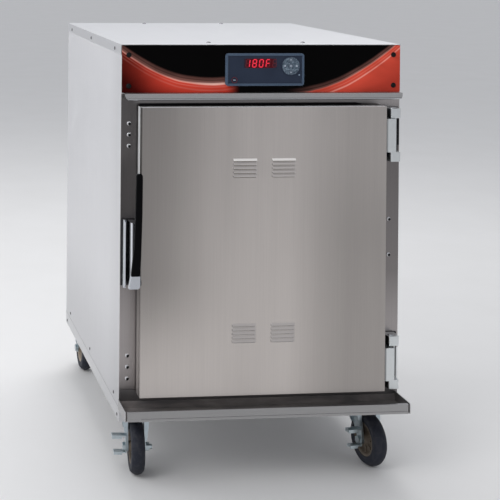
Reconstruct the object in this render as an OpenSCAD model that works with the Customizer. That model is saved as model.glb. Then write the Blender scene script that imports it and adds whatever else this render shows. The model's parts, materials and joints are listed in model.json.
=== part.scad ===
// Insulated hot holding cabinet, half height, on swivel casters.
// Units are millimetres. +X is to the right seen from the front, +Y is towards
// the back and +Z is up. The origin is on the floor in the middle plane (x = 0),
// and the face frame stands at y = front_y.

/* [Body] */
// Width over the side panels
body_w = 692; // [688:1:700]
// Depth from the face frame to the rear panel
body_d = 761; // [758:1:780]
// Height of the top cover above the floor
body_h = 1040; // [1039:0.5:1042]
// Thickness of the sheet metal
sheet = 1.5; // [1.2:0.1:1.5]
// Depth of the side flange of the top cover
top_flange = 25; // [20:1:28]

/* [Door] */
// Left edge of the door
door_x0 = -306.5; // [-307:0.25:-306]
// Right edge of the door
door_x1 = 294.5; // [294:0.25:294.5]
// Lower edge of the door
door_z0 = 208.5; // [207:0.5:209]
// Upper edge of the door
door_z1 = 894.5; // [892:0.5:896]
// Distance the door stands in front of the face frame
door_t = 45; // [44:0.5:45]
// Hood height of one louvre
louvre_h = 3; // [1.6:0.1:3]
// Height step between two louvres
louvre_pitch = 9.5; // [9:0.1:9.6]
// Radius of the hinge barrels
hinge_r = 10; // [9:0.25:10]

/* [Cavity] */
// Half width of the cavity inside
cav_hw = 272.5; // [271:0.5:273]
// Number of pan ledges on each side
tiers = 7; // [4:1:7]
// Height step between two pan ledges
tier_pitch = 80; // [70:1:80]
// Height of the lowest ledge
tier_z0 = 262; // [250:1:265]

/* [Trough] */
// Reach of the drip trough in front of the face frame
trough_d = 81; // [70:1:90]
// Height of the trough lip
trough_top = 190.6; // [186:0.2:192]

/* [Controls] */
// Width of the controller bezel
bezel_w = 195; // [194:1:200]
// Height of the controller bezel
bezel_h = 78.4; // [77:0.2:80]
// Travel of the push keys
key_travel = 0.6; // [0.3:0.1:0.8]

/* [Casters] */
// Wheel diameter
wheel_d = 127; // [120:1:128]
// Wheel width
wheel_w = 32; // [28:1:33]
// Horizontal distance from the swivel axis to the axle
trail = 32; // [28:1:36]
// Distance of the swivel axes from the middle plane
caster_x = 293; // [288:1:294]
// Distance of the front swivel axes behind the face frame
caster_yf = 64; // [60:0.5:66]
// Distance of the rear swivel axes behind the face frame
caster_yr = 708; // [700:0.5:708]

/* [Hidden] */
$fn = 48;

// Y of the face frame's front plane; everything below is laid out from that plane
front_y = -354;
half_w = body_w / 2;

// casing heights
skirt_z0 = 137;
skirt_z1 = 168;
deck_z = 157;
panel_z0 = skirt_z1 + 0.2;
panel_z1 = body_h - 4;
flange_z = body_h - top_flange;
cover_over = 1.2; // overhang of the top cover past the panels
fascia_z0 = 924.2;
fascia_z1 = body_h - 1.65;

// cavity inside
cav_z0 = 233.5;
cav_z1 = 871.5;
cav_back = 688.5;

// casing screws
screw_hole_r = 2.1;
front_hole_r = 2.2;
head_gap = 0.02; // gap under a screw head
side_ys = [63, 375, 684];
side_screw_z = 185;
top_ys = [74, 385, 690];
top_screw_z = 1025;
skirt_ys = [22, body_d - 22];
skirt_screw_z = 147;
rear_screw_x = 336;
rear_screw_zs = [240, 600, 980];
// X and Z of the screws in the face frame
jamb_screws = [[-327, 851], [-327, 824], [-327, 797], [-327, 295], [-327, 268], [-327, 240],
  [321, 613], [321, 526]];

// ---------- helpers ----------
module from_front() {
  translate([0, front_y, 0]) children();
}
module mirror_x() {
  children();
  mirror([1, 0, 0]) children();
}
// block from low corner to high corner
module block(low, high) {
  translate(low) cube(high - low);
}
// cylinders along each axis, from one coordinate to another;
// at is the place in the other two axes, in alphabetical order
module cyl_x(radius, x0, x1, at = [0, 0]) {
  translate([x0, at[0], at[1]]) rotate([0, 90, 0]) cylinder(r = radius, h = x1 - x0);
}
module cyl_y(radius, y0, y1, at = [0, 0]) {
  translate([at[0], y0, at[1]]) rotate([-90, 0, 0]) cylinder(r = radius, h = y1 - y0);
}
module cyl_z(radius, z0, z1, at = [0, 0]) {
  translate([at[0], at[1], z0]) cylinder(r = radius, h = z1 - z0);
}
// flat rectangle with round corners, centred
module round_rect(size, radius) {
  union() {
    square([size[0] - 2 * radius, size[1]], center = true);
    square([size[0], size[1] - 2 * radius], center = true);
    for (i = [-1, 1], j = [-1, 1])
      translate([i * (size[0] / 2 - radius), j * (size[1] / 2 - radius)]) circle(r = radius);
  }
}
// the same rectangle as a slab that spans y0 to y1, centred at X and Z
module slab_y(size, radius, y0, y1, at) {
  translate([at[0], y1, at[1]]) rotate([90, 0, 0])
    linear_extrude(y1 - y0) round_rect(size, radius);
}
// outline drawn in Y and Z, extruded along X
module prism_x(x0, x1) {
  translate([x0, 0, 0]) rotate([90, 0, 90]) linear_extrude(x1 - x0) children();
}
// outline drawn in X and Z, extruded towards the front from y
module prism_forward(y, depth) {
  translate([0, y, 0]) rotate([90, 0, 0]) linear_extrude(depth) children();
}
// low domed screw or rivet head with its shank, head on the +Z side
module rivet(head_r, head_h, shank_r, shank_l) {
  rotate_extrude() polygon([[0, head_h], [head_r * 0.55, head_h * 0.86],
    [head_r * 0.88, head_h * 0.45], [head_r, 0], [shank_r, 0], [shank_r, -shank_l],
    [0, -shank_l]]);
}
// row of holes through the right side
module side_holes(ys, z) {
  for (y = ys) cyl_x(screw_hole_r, half_w - 4, half_w + 4, [y, z]);
}
// the four screw places in the roof of the top cover
module at_roof_screws() {
  for (s = [-1, 1], y = [50, 735]) translate([s * 119, y, 0]) children();
}

// ---------- caster places, shared with the base ----------
// X and Y of the swivel axis, side of the axle (-1 front, 1 back), angle about the axis.
// The front right axis sits 9 mm nearer the middle plane.
place_fl = [-caster_x, caster_yf, -1, -6];
place_fr = [caster_x - 9, caster_yf, -1, 8.6];
place_rl = [-caster_x, caster_yr, 1, 0];
place_rr = [caster_x, caster_yr, 1, 0];
plate_hole_r = 4.2;

module at_swivels() {
  for (place = [place_fl, place_fr, place_rl, place_rr])
    translate([place[0], place[1], 0]) children();
}
// the four bolt places round a swivel axis
module at_plate_bolts() {
  for (i = [-1, 1], j = [-1, 1]) translate([i * 36, j * 27, 0]) children();
}

// ---------- base ----------
module base_frame() color("silver") from_front() {
  difference() {
    union() {
      // skirt all round, with a hem turned in at the bottom
      difference() {
        block([-half_w, 0, skirt_z0], [half_w, body_d, skirt_z1]);
        block([-half_w + 2, 2, skirt_z0 - 1], [half_w - 2, body_d - 2, skirt_z1 + 1]);
      }
      difference() {
        block([-half_w + 1, 1, skirt_z0], [half_w - 1, body_d - 1, skirt_z0 + 2]);
        block([-half_w + 8, 8, skirt_z0 - 1], [half_w - 8, body_d - 8, skirt_z0 + 3]);
      }
      // deck that the casters bolt to
      block([-half_w + 1, 1, deck_z], [half_w - 1, body_d - 1, deck_z + 3]);
      // stiffening ribs on the deck
      for (x = [-150, 0, 150])
        block([x - 20, 12, deck_z + 2.5], [x + 20, body_d - 12, skirt_z1 - 1]);
    }
    at_swivels() at_plate_bolts() cyl_z(plate_hole_r, deck_z - 1, deck_z + 4);
    mirror_x() side_holes(skirt_ys, skirt_screw_z);
  }
}

trough_z0 = skirt_z1 - 0.4; // underside of the trough
// Y and Z of the floor with its rear upstand
trough_floor = [[-trough_d, skirt_z1], [-trough_d + 10, trough_z0], [-0.4, trough_z0],
  [-0.4, 186], [-1.9, 186], [-1.9, skirt_z1 + 1.1], [-trough_d + 10, skirt_z1 + 1.1],
  [-trough_d + 1, skirt_z1 + 1.6]];
// Y and Z of the front wall with its hem
trough_wall = [[-trough_d, trough_z0], [-trough_d + 1.5, trough_z0],
  [-trough_d + 1.5, trough_top - 1.2], [-trough_d + 6, trough_top - 1.2],
  [-trough_d + 6, trough_top - 5], [-trough_d + 7.2, trough_top - 5],
  [-trough_d + 7.2, trough_top - 0.6], [-trough_d + 6.4, trough_top],
  [-trough_d + 0.7, trough_top], [-trough_d, trough_top - 0.7]];
// Y and Z of an end plate
trough_end = [[-trough_d - 0.6, trough_z0], [-0.4, trough_z0], [-0.4, 189],
  [-2, trough_top + 1], [-trough_d + 1, trough_top + 1], [-trough_d - 0.6, trough_top - 1]];

module drip_trough() color("darkgray") from_front() {
  union() {
    prism_x(-347, 340.5) polygon(trough_floor);
    prism_x(-343.5, 337) polygon(trough_wall);
    // pressed flange along the lower edge of the front wall, mitred at its left end
    prism_forward(-trough_d + 0.2, 1.1)
      polygon([[-314.5, trough_z0], [-309.5, skirt_z1 + 6], [336, skirt_z1 + 6],
        [336, trough_z0]]);
    for (x = [-348.5, 340]) prism_x(x, x + 2) polygon(trough_end);
  }
}

// ---------- casing ----------
// right side panel with its edges turned in; the left one is its mirror image
module side_shell() {
  panel_y0 = 1.6;
  panel_y1 = body_d - 1.6;
  lap_x = half_w - sheet + 0.5; // the turned edges run 0.5 into the panel
  difference() {
    union() {
      block([half_w - sheet, panel_y0, panel_z0], [half_w, panel_y1, panel_z1]);
      block([half_w - 14, panel_y0, panel_z0], [lap_x, panel_y0 + sheet, panel_z1]);
      block([half_w - 14, panel_y1 - sheet, panel_z0], [lap_x, panel_y1, panel_z1]);
      block([half_w - 20, panel_y0, panel_z1 - sheet], [lap_x, panel_y1, panel_z1]);
      block([half_w - 12, panel_y0, panel_z0], [lap_x, panel_y1, panel_z0 + sheet]);
    }
    side_holes(side_ys, side_screw_z);
    side_holes(top_ys, top_screw_z);
    for (z = rear_screw_zs) cyl_y(screw_hole_r, body_d - 6, body_d, [rear_screw_x, z]);
  }
}
module left_side_panel() color("gainsboro") from_front() mirror([1, 0, 0]) side_shell();
module right_side_panel() color("gainsboro") from_front() side_shell();

cord_at = [250, 960]; // X and Z where the cord leaves the rear panel

module rear_panel() color("gainsboro") from_front() {
  difference() {
    union() {
      block([-half_w + 2, body_d - sheet, panel_z0], [half_w - 2, body_d, panel_z1]);
      // vent hoods of the control compartment
      for (i = [0:6]) translate([0, body_d - 0.2, 935 + i * 10])
        prism_x(-90, 90) polygon([[0, 0], [3, 0.4], [3, 1.4], [0, 7]]);
    }
    for (i = [0:6])
      block([-86, body_d - 4, 934 + i * 10], [86, body_d + 2, 935.6 + i * 10]);
    cyl_y(9.2, body_d - 4, body_d + 2, cord_at);
    mirror_x() for (z = rear_screw_zs)
      cyl_y(screw_hole_r, body_d - 4, body_d + 2, [rear_screw_x, z]);
  }
}

face_y = -2.6; // front plane of the fascia

module top_cover() color("whitesmoke") from_front() {
  cover_x = half_w + cover_over;
  cover_y = body_d + cover_over;
  difference() {
    union() {
      block([-cover_x, face_y - 0.6, body_h - 1.5], [cover_x, cover_y, body_h]);
      mirror_x() block([half_w + 0.05, 0.2, flange_z], [cover_x, cover_y, body_h - 1]);
      block([-cover_x, body_d + 0.05, flange_z], [cover_x, cover_y, body_h - 1]);
      // dimples under the top screws
      at_roof_screws() cyl_z(8, body_h - 3.2, body_h - 1.4);
    }
    at_roof_screws() {
      cyl_z(5.7, body_h - 1.5, body_h + 1);
      cyl_z(2.2, body_h - 5, body_h + 1);
    }
    mirror_x() side_holes(top_ys, top_screw_z);
  }
}

module front_frame() color("gray") from_front() {
  difference() {
    block([-half_w, 0, 213.8], [half_w, sheet, 921.6]);
    block([-cav_hw, -1, cav_z0], [cav_hw, sheet + 1, cav_z1]);
    for (at = jamb_screws) cyl_y(front_hole_r, -1, 4, at);
  }
}

module front_sill() color("dimgray") from_front() {
  union() {
    block([-half_w, 0, panel_z0], [half_w, sheet, 213.3]);
    block([-half_w + 20, sheet - 0.5, panel_z0], [half_w - 20, 14, panel_z0 + sheet]);
  }
}

// ---------- cavity ----------
blower_at = [0, 345];   // X and Y of the blower axis
probe_at = [-180, 676]; // X and Y of the temperature probe
shaft_r = 6;
heater_r = 95;          // radius of the heater ring
heater_gap = 15;        // half the angle left open at the back of the ring

// X and Y of a heater end from the blower axis; side is -1 left, 1 right
function heater_end(side) = heater_r * [sin(heater_gap * side), cos(heater_gap * side)];

// holes over the cavity for the motor shaft, the heater ends and the probe
module roof_ports(z0, z1, shaft_port_r, heater_port_r, probe_port_r) {
  cyl_z(shaft_port_r, z0, z1, blower_at);
  for (s = [-1, 1]) cyl_z(heater_port_r, z0, z1, blower_at + heater_end(s));
  cyl_z(probe_port_r, z0, z1, probe_at);
}

module cavity_liner() color("lightgray") from_front() {
  difference() {
    union() {
      block([-cav_hw - 1.5, 1.7, cav_z0 - 1.5], [cav_hw + 1.5, cav_back + 1.5, cav_z1 + 1.5]);
      // front flange behind the face frame
      block([-300, 1.7, 214], [300, 3.1, 895]);
    }
    block([-cav_hw, 0, cav_z0], [cav_hw, cav_back, cav_z1]);
    roof_ports(cav_z1 - 2, cav_z1 + 3, 8, 4.7, 3.7);
  }
}

// X and Z of a pan ledge on the right, Z from the ledge height
ledge_outline = [[212, 0], [cav_hw - 27.5, 0], [cav_hw - 27.5, 14], [cav_hw - 29, 14],
  [cav_hw - 29, 1.5], [212.9, 1.5], [212.9, 2.4], [212, 2.4]];

module rack_side() {
  union() {
    // uprights, L shaped seen from above
    for (y = [40, 330, 620]) {
      block([cav_hw - 28.5, y, 240], [cav_hw - 27, y + 26, 815]);
      block([cav_hw - 28.5, y, 240], [cav_hw - 0.6, y + 1.5, 815]);
    }
    for (i = [0:tiers - 1]) translate([0, 0, tier_z0 + i * tier_pitch])
      prism_forward(665, 635) polygon(ledge_outline);
  }
}
module pan_racks() color("silver") from_front() mirror_x() rack_side();

module air_baffle() color("lightgray") from_front() {
  plate_hw = 262;
  plate_z = 822;
  rim_z = cav_z1 - 0.1;
  difference() {
    union() {
      block([-plate_hw, 20, plate_z], [plate_hw, 630, plate_z + 1.5]);
      mirror_x() block([plate_hw - 1.5, 20, plate_z], [plate_hw, 630, rim_z]);
      for (y = [20, 628.5]) block([-plate_hw, y, plate_z], [plate_hw, y + 1.5, rim_z]);
    }
    // blower inlet and two rows of slots
    cyl_z(56, 820, 826, blower_at);
    for (s = [-1, 1], i = [0:7])
      block([s * 225 - 16, 60 + i * 68, 820], [s * 225 + 16, 96 + i * 68, 826]);
  }
}

module insulation_batts() color("khaki") from_front() {
  batt_hw = 274.6;
  batt_back = 752;
  // sides, top, bottom and back
  mirror_x() block([275.2, 16, 172], [341, batt_back, 902]);
  difference() {
    block([-batt_hw, 6, 874.2], [batt_hw, batt_back, 902]);
    roof_ports(870, 905, 12, 7, 6);
  }
  block([-batt_hw, 15, 172], [batt_hw, batt_back, 230.8]);
  block([-batt_hw, 691, 232], [batt_hw, batt_back, 873]);
}

// ---------- air and heat ----------
module at_blower(z = 0) {
  translate([blower_at[0], blower_at[1], z]) children();
}
module blower_motor() color("dimgray") from_front() at_blower() {
  difference() {
    union() {
      // mounting plate, neck, can and end cap
      cyl_z(80, 902.2, 904.4);
      cyl_z(24, 904, 912);
      cyl_z(42, 911, 972);
      cyl_z(36, 971, 978);
      // fins round the can
      for (angle = [0:30:330]) rotate([0, 0, angle]) block([40, -1.2, 914], [47, 1.2, 968]);
      // box on the right of the can
      block([38, -14, 925], [60, 14, 955]);
    }
    cyl_z(shaft_r + 0.06, 900, 968);
  }
}
module motor_shaft() color("lightsteelblue") from_front() cyl_z(shaft_r, 834, 966, blower_at);
module blower_wheel() color("silver") from_front() {
  wheel_r = 62;
  at_blower(835.5) difference() {
    union() {
      cylinder(r = 10, h = 22);
      translate([0, 0, 20]) cylinder(r = wheel_r, h = 1.5);
      // inlet ring
      difference() {
        cylinder(r = wheel_r, h = 1.5);
        translate([0, 0, -1]) cylinder(r = 50, h = 4);
      }
      // blades, set at 32 degrees to the radius
      for (angle = [0:18:342]) rotate([0, 0, angle]) translate([55, 0, 0.5])
        rotate([0, 0, 32]) translate([-6, -0.6, 0]) cube([12, 1.2, 20.5]);
    }
    translate([0, 0, -1]) cylinder(r = shaft_r + 0.02, h = 30);
  }
}
module heater_element() color("slategray") from_front() {
  rod_r = 4;
  at_blower(847) union() {
    rotate([0, 0, 90 + heater_gap]) rotate_extrude(angle = 360 - 2 * heater_gap)
      translate([heater_r, 0]) circle(r = rod_r);
    for (s = [-1, 1]) translate(concat(heater_end(s), [0])) {
      sphere(r = 4.7);
      cylinder(r = rod_r, h = 78);
    }
  }
}
module temperature_probe() color("silver") from_front() {
  union() {
    cyl_z(3, 786, 915, probe_at);
    cyl_z(8, 902.3, 905, probe_at);
  }
}

// ---------- gutter and controls ----------
gutter_x0 = -340.5; // left end of the drip gutter
// Y and Z of the gutter sheet
gutter_outline = [[-18, 923.9], [-0.1, 923.9], [-0.1, 912], [-1.3, 912], [-1.3, 922.7],
  [-16.6, 922.7], [-16.6, 910.9], [-14.6, 910.9], [-14.6, 908.2], [-17.6, 908.2],
  [-19, 909.5], [-19, 910.8], [-18, 911.7]];
// side (-1 left, 1 right), X of the end, radius of its lower corner
gutter_ends = [[-1, gutter_x0, 12], [1, half_w, 8]];

// what a rounded lower corner leaves to be cut away, corner at the origin
module corner_waste(side, radius) {
  difference() {
    square([2 * radius + 1, 2 * radius + 1], center = true);
    translate([-side * (radius + 0.5), radius + 0.5]) circle(r = radius);
    translate([-side * (radius + 0.5), 0]) square([2, 60], center = true);
    translate([0, radius + 0.5]) square([60, 1], center = true);
  }
}
module drip_gutter() color("darkgray") from_front() {
  difference() {
    union() {
      prism_x(gutter_x0, half_w) polygon(gutter_outline);
      for (x = [gutter_x0, half_w - 1.4]) block([x, -17, 908.3], [x + 1.4, -0.5, 923.4]);
    }
    for (end = gutter_ends) translate([end[1], 1, 907.5])
      prism_forward(0, 26) corner_waste(end[0], end[2]);
  }
}

// places as X and Z
bezel_at = [4.5, 979.8];
display_at = [-7.5, 995];
keypad_at = [68.5, 988.5];
key_pitch = 15;
up_at = keypad_at + [0, key_pitch];
down_at = keypad_at - [0, key_pitch];
enter_at = keypad_at;
key_places = [up_at, down_at, enter_at];
power_at = [-71.5, 954.8];

module at_fascia_screws() {
  for (s = [-1, 1], z = [940.5, 1015]) translate([s * 329, 0, z]) children();
}
// bezel opening and screw holes
module fascia_cutouts() {
  slab_y([187, 74], 3, -4, 4, bezel_at);
  at_fascia_screws() cyl_y(front_hole_r, -4, 4);
}
module control_panel() color("silver") from_front() {
  difference() {
    union() {
      block([-half_w, face_y + 1.1, fascia_z0], [half_w, 0, fascia_z1]);
      for (z = [fascia_z1 - 1.6, fascia_z0])
        block([-half_w + 20, -0.5, z], [half_w - 20, 14, z + 1.6]);
    }
    fascia_cutouts();
  }
}
module fascia_overlay() color("black") from_front() {
  difference() {
    slab_y([body_w - 0.6, fascia_z1 - fascia_z0 - 0.4], 2.5, face_y, face_y + 1.05,
      [0, (fascia_z0 + fascia_z1) / 2]);
    fascia_cutouts();
  }
}

module keypad_seat() {
  cyl_y(24, face_y - 5.9, face_y - 3, keypad_at);
}
// bezel outline drawn in by inset over its width and height
module bezel_slab(inset, radius, y0, y1) {
  slab_y([bezel_w - inset, bezel_h - inset], radius, y0, y1, bezel_at);
}
module controller_bezel() color("darkslategray") from_front() {
  difference() {
    union() {
      // raised rim and face
      bezel_slab(0, 7, face_y - 5.2, face_y - 0.05);
      bezel_slab(3, 6, face_y - 6.6, face_y - 5);
      // tub behind the panel
      slab_y([185, 72], 3, face_y - 1, 22, bezel_at);
      keypad_seat();
    }
    // recess inside the rim, round the keypad seat
    difference() {
      bezel_slab(11, 4, face_y - 8, face_y - 5);
      keypad_seat();
    }
    slab_y([181, 68], 2, face_y - 2, 23, bezel_at);
    // display opening, key holes
    slab_y([81, 23], 1.5, face_y - 9, 2, display_at);
    for (at = key_places) cyl_y(5.5, face_y - 9, 2, at);
    cyl_y(8, face_y - 9, 2, power_at);
  }
}
module display_window() color("darkred") from_front()
  slab_y([80.6, 22.6], 1.3, face_y - 4.9, face_y - 2.6, display_at);
module control_board() color("darkgreen") from_front() {
  union() {
    block([-82, 3, 951], [93, 4.6, 1009]);
    // display block and key switches on the front
    block([-46, -4.6, 985], [31, 3.2, 1005]);
    for (at = concat(key_places, [power_at])) cyl_y(3, 0.5, 3.2, at);
    // parts on the back
    block([-60, 4.4, 958], [-30, 18, 980]);
    block([-20, 4.4, 958], [6, 20, 984]);
    block([30, 4.4, 962], [52, 16, 1000]);
    for (x = [60, 72, 84]) cyl_y(4.5, 4.4, 17, [x, 965]);
  }
}
// key: cap in the bezel, retaining flange behind the face, and a stem to the switch
module key(at, radius, cap_h) {
  union() {
    cyl_y(radius, face_y - cap_h, face_y - 1.2, at);
    cyl_y(radius - 0.7, face_y - cap_h - 0.5, face_y - cap_h + 0.2, at);
    cyl_y(radius + 0.9, face_y - 1.8, face_y - 0.8, at);
    cyl_y(2, face_y - 1, -key_travel, at);
  }
}
module key_up() color("lightslategray") from_front() key(up_at, 5.2, 6.4);
module key_down() color("lightslategray") from_front() key(down_at, 5.2, 6.4);
module key_enter() color("lightslategray") from_front() key(enter_at, 5.2, 6.4);
module power_key() color("darkslategray") from_front() key(power_at, 7.7, 5.6);

// ---------- screws and cord ----------
module fascia_screws() color("black") from_front() {
  at_fascia_screws() translate([0, face_y - head_gap, 0]) rotate([90, 0, 0]) difference() {
    rivet(6.4, 2.6, 2, 9);
    // cross recess
    translate([0, 0, 2.9]) cube([7, 1.1, 1.6], center = true);
    translate([0, 0, 2.9]) cube([1.1, 7, 1.6], center = true);
  }
}

// Y places, Z, distance of the seat from the side panel, head radius, head height, shank length
side_screw_rows = [
  [side_ys, side_screw_z, 0, 4.2, 1.6, 3.4],
  [skirt_ys, skirt_screw_z, 0, 4, 1.4, 6],
  [top_ys, top_screw_z, cover_over, 4.4, 1.8, 7]];

module casing_screws() color("silver") from_front() {
  mirror_x() {
    for (row = side_screw_rows, y = row[0])
      translate([half_w + row[2] + head_gap, y, row[1]]) rotate([0, 90, 0])
        rivet(row[3], row[4], 2, row[5]);
    for (z = rear_screw_zs) translate([rear_screw_x, body_d + head_gap, z])
      rotate([-90, 0, 0]) rivet(4.2, 1.6, 2, 6);
  }
  at_roof_screws() translate([0, 0, body_h - 1.45]) rivet(5.4, 1.3, 2.1, 8);
}
module jamb_plug_screws() color("silver") from_front() {
  for (at = jamb_screws) translate([at[0], -head_gap, at[1]]) rotate([90, 0, 0])
    rivet(5.3, 2.2, 2.1, 6);
}

module power_cord() color("black") from_front() {
  cord_r = 4.6;
  bend_r = 15;
  bend_z = cord_at[1] - bend_r;
  hang_y = body_d + 2 * bend_r;
  hang_at = [cord_at[0], hang_y];
  union() {
    // strain relief bush in the rear panel
    cyl_y(9, body_d - 6, body_d + 2, cord_at);
    cyl_y(13, body_d + 0.1, body_d + 5, cord_at);
    cyl_y(7.5, body_d + 4, body_d + 16, cord_at);
    // cord bends down and hangs close to the panel
    translate([cord_at[0], body_d + bend_r, bend_z]) rotate([0, -90, 0])
      rotate_extrude(angle = 90) translate([bend_r, 0]) circle(r = cord_r);
    cyl_z(cord_r, 470, bend_z, hang_at);
    // moulded plug with two blades and a round pin
    cyl_z(8, 452, 474, hang_at);
    cyl_z(14.5, 420, 453, hang_at);
    for (x = [cord_at[0] - 6.4, cord_at[0] + 6.4])
      block([x - 0.8, hang_y - 3.2, 403], [x + 0.8, hang_y + 3.2, 421]);
    cyl_z(2.4, 401, 421, hang_at + [0, 9]);
  }
}

// ---------- hinges ----------
hinge_at = [316, -26]; // X and Y of the hinge axis
// Z bands of each hinge: lower frame knuckle, door leaf, upper frame knuckle
hinge_bands = [[211, 233, 233.5, 312.5, 315, 338], [760, 783.5, 784, 864.5, 865, 888]];
hinge_pin_r = 4;
bush_r = 6;
// X and Y of the frame knuckle: block and the arm from the plate
knuckle_block = [[307.5, -38], [309, -39.6], [330, -39.6], [332.5, -37], [332.5, -22],
  [304, -22], [306.5, -36.5]];
knuckle_arm = [[305, -24], [332.5, -24], [334.5, -10], [335, -2], [311, -2], [308, -12]];
// X and Y of the door leaf and of the filler at the right of its barrel
door_leaf = [[door_x1 + 0.1, -door_t - 1.2], [door_x1 + 1.4, -door_t - 2.4],
  [316, -door_t - 2.4], [318, -door_t - 0.8], [319, -36], [308, -30], [308, -14],
  [door_x1 + 0.1, -10]];
leaf_filler = [[308, -38], [319, -36.5], [324, -31], [320, -26], [308, -20]];

module hinge_frame_leaves() color("lightgray") from_front() {
  for (band = hinge_bands) difference() {
    union() {
      block([301, -3.1, band[0]], [341, -0.1, band[5]]);
      for (i = [0, 4]) translate([0, 0, band[i]])
        linear_extrude(band[i + 1] - band[i]) union() {
          polygon(knuckle_block);
          translate(hinge_at) circle(r = 9);
          polygon(knuckle_arm);
        }
    }
    cyl_z(hinge_pin_r + 0.03, band[0] - 1, band[5] + 1, hinge_at);
  }
}
module hinge_pins() color("lightsteelblue") from_front() {
  for (band = hinge_bands) union() {
    cyl_z(hinge_pin_r, band[0] + 1, band[5] + 0.1, hinge_at);
    cyl_z(6.5, band[5] + 0.05, band[5] + 2, hinge_at);
  }
}
module hinge_door_leaves() color("lightgray") from_front() {
  for (band = hinge_bands) difference() {
    translate([0, 0, band[2]]) linear_extrude(band[3] - band[2]) union() {
      polygon(door_leaf);
      translate(hinge_at) circle(r = hinge_r);
      polygon(leaf_filler);
    }
    cyl_z(bush_r + 0.02, band[2] - 1, band[3] + 1, hinge_at);
  }
}
module hinge_bushes() color("goldenrod") from_front() {
  for (band = hinge_bands,
      span = [[band[2] + 0.1, band[2] + 22], [band[3] - 22, band[3] - 0.1]])
    difference() {
      cyl_z(bush_r, span[0], span[1], hinge_at);
      cyl_z(hinge_pin_r + 0.06, span[0] - 1, span[1] + 1, hinge_at);
    }
}

// ---------- door ----------
louvre_w = 58;
// X and Z of the middle of each group of five louvres
louvre_groups = [for (x = [-55, 40], z = [356.5, 749.6]) [x, z]];
// Y and Z of a hood that overhangs its slot, open at the bottom
hood_outline = [[0.2, 0], [-louvre_h, 0.3], [-louvre_h, 1.3], [-louvre_h * 0.55, 4.6],
  [0.2, 6.6]];

module at_louvres() {
  for (at = louvre_groups, i = [-2:2])
    translate([at[0], -door_t, at[1] + i * louvre_pitch - 2.6]) children();
}
module door_skin() color("silver") from_front() {
  difference() {
    union() {
      // pan, open at the back
      difference() {
        block([door_x0, -door_t, door_z0], [door_x1, -6, door_z1]);
        block([door_x0 + sheet, -door_t + sheet, door_z0 + sheet],
          [door_x1 - sheet, -5, door_z1 - sheet]);
      }
      at_louvres() prism_x(-louvre_w / 2, louvre_w / 2) polygon(hood_outline);
    }
    at_louvres() block([-27, -louvre_h + 0.8, -1], [27, 3, 1.6]);
  }
}
module door_liner() color("lightgray") from_front() {
  difference() {
    union() {
      block([door_x0 + 1.6, -7.8, door_z0 + 1.6], [door_x1 - 1.6, -6.3, door_z1 - 1.6]);
      block([-262, -7.8, 244], [256, 9, 861]);
    }
    block([-260.5, -9, 245.5], [254.5, 7.5, 859.5]);
  }
}
module door_insulation() color("khaki") from_front()
  block([door_x0 + 3, -39, door_z0 + 3], [door_x1 - 3, -8.2, door_z1 - 3]);

// one step of the gasket, narrowed by inset on both edges
module gasket_ring(inset, y0, y1) {
  difference() {
    block([-295 + inset, y0, 216 + inset], [288 - inset, y1, 888 - inset]);
    block([-281 - inset, y0 - 1, 230 - inset], [275 + inset, y1 + 1, 874 + inset]);
  }
}
module door_gasket() color("dimgray") from_front() union() {
  gasket_ring(0, -6.25, -3.6);
  gasket_ring(2.5, -3.8, -1.4);
  gasket_ring(4.2, -1.5, -0.25);
}

// ---------- latch ----------
latch_y = -53;
latch_z = 484;
latch_at = [latch_y, latch_z]; // pivot
latch_pin_r = 3;
// X and Y of the strike ridge and of the latch body
strike_ridge = [[-341.5, -0.4], [-341.5, -19], [-340, -22.6], [-337.6, -23.6],
  [-335.8, -21.5], [-335.4, -3], [-335.4, -0.4]];
body_outline = [[-306.7, -43], [-306.7, -6.4], [-331, -6.4], [-331, -38], [-328, -44.5],
  [-323, -46.4], [-310, -46.4]];

module latch_strike() color("gainsboro") from_front() {
  ridge_z0 = 463;
  ridge_z1 = 624.5;
  difference() {
    union() {
      block([-345, -3.2, 464.5], [-309, -0.1, 623.5]);
      translate([0, 0, ridge_z0]) linear_extrude(ridge_z1 - ridge_z0) polygon(strike_ridge);
    }
    // rounded top and bottom of the ridge
    for (z = [ridge_z0, ridge_z1]) cyl_x(7, -350, -330, [-28, z]);
  }
}
module latch_body() color("gainsboro") from_front() {
  difference() {
    union() {
      translate([0, 0, 472]) linear_extrude(150.5) polygon(body_outline);
      // pivot ears
      for (ear = [[-331, -326.4], [-312, -307.2]]) prism_x(ear[0], ear[1]) union() {
        translate(latch_at) circle(r = 6.8);
        polygon([[latch_y, latch_z + 6.6], [-45, latch_z + 14], [-45, latch_z - 10],
          [latch_y, latch_z - 6.6]]);
      }
    }
    cyl_x(latch_pin_r + 0.03, -335, -303, latch_at);
    // magnet pocket in the back
    block([-326, -12, 500], [-312, -6, 600]);
  }
}
module latch_pin() color("lightsteelblue") from_front()
  cyl_x(latch_pin_r, -331.5, -306.8, latch_at);

// Y of a line that leans forward with the lever arm, offset forward of its centre line
function lever_y(offset, z) = latch_y - 15 - offset - (z - latch_z) * 0.092;
// Y and Z points from pairs of offset and Z
function lever_points(pairs) = [for (pair = pairs) [lever_y(pair[0], pair[1]), pair[1]]];

// side outlines as pairs of offset and Z
arm_side = [[-4, 500], [-4, 747], [1.5, 747], [1.5, 500]];
grip_side = [[1.6, 506], [1.6, 748], [4, 749], [9.5, 746], [11, 735], [11, 520], [9, 506]];
// front outlines as X and Z
cap_front = [[-340.5, 475], [-318, 475], [-314, 479.5], [-314, 505], [-335, 505]];
arm_front = [[-336.5, 499], [-314, 499], [-314, 540], [-316, 560], [-317, 745],
  [-319, 747], [-327, 747], [-328, 745], [-329, 575]];
grip_front = [[-337, 500], [-315.5, 500], [-314, 552], [-314, 650], [-315.5, 744],
  [-317.5, 749], [-328, 749], [-330, 744], [-330, 640], [-331, 575]];

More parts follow.
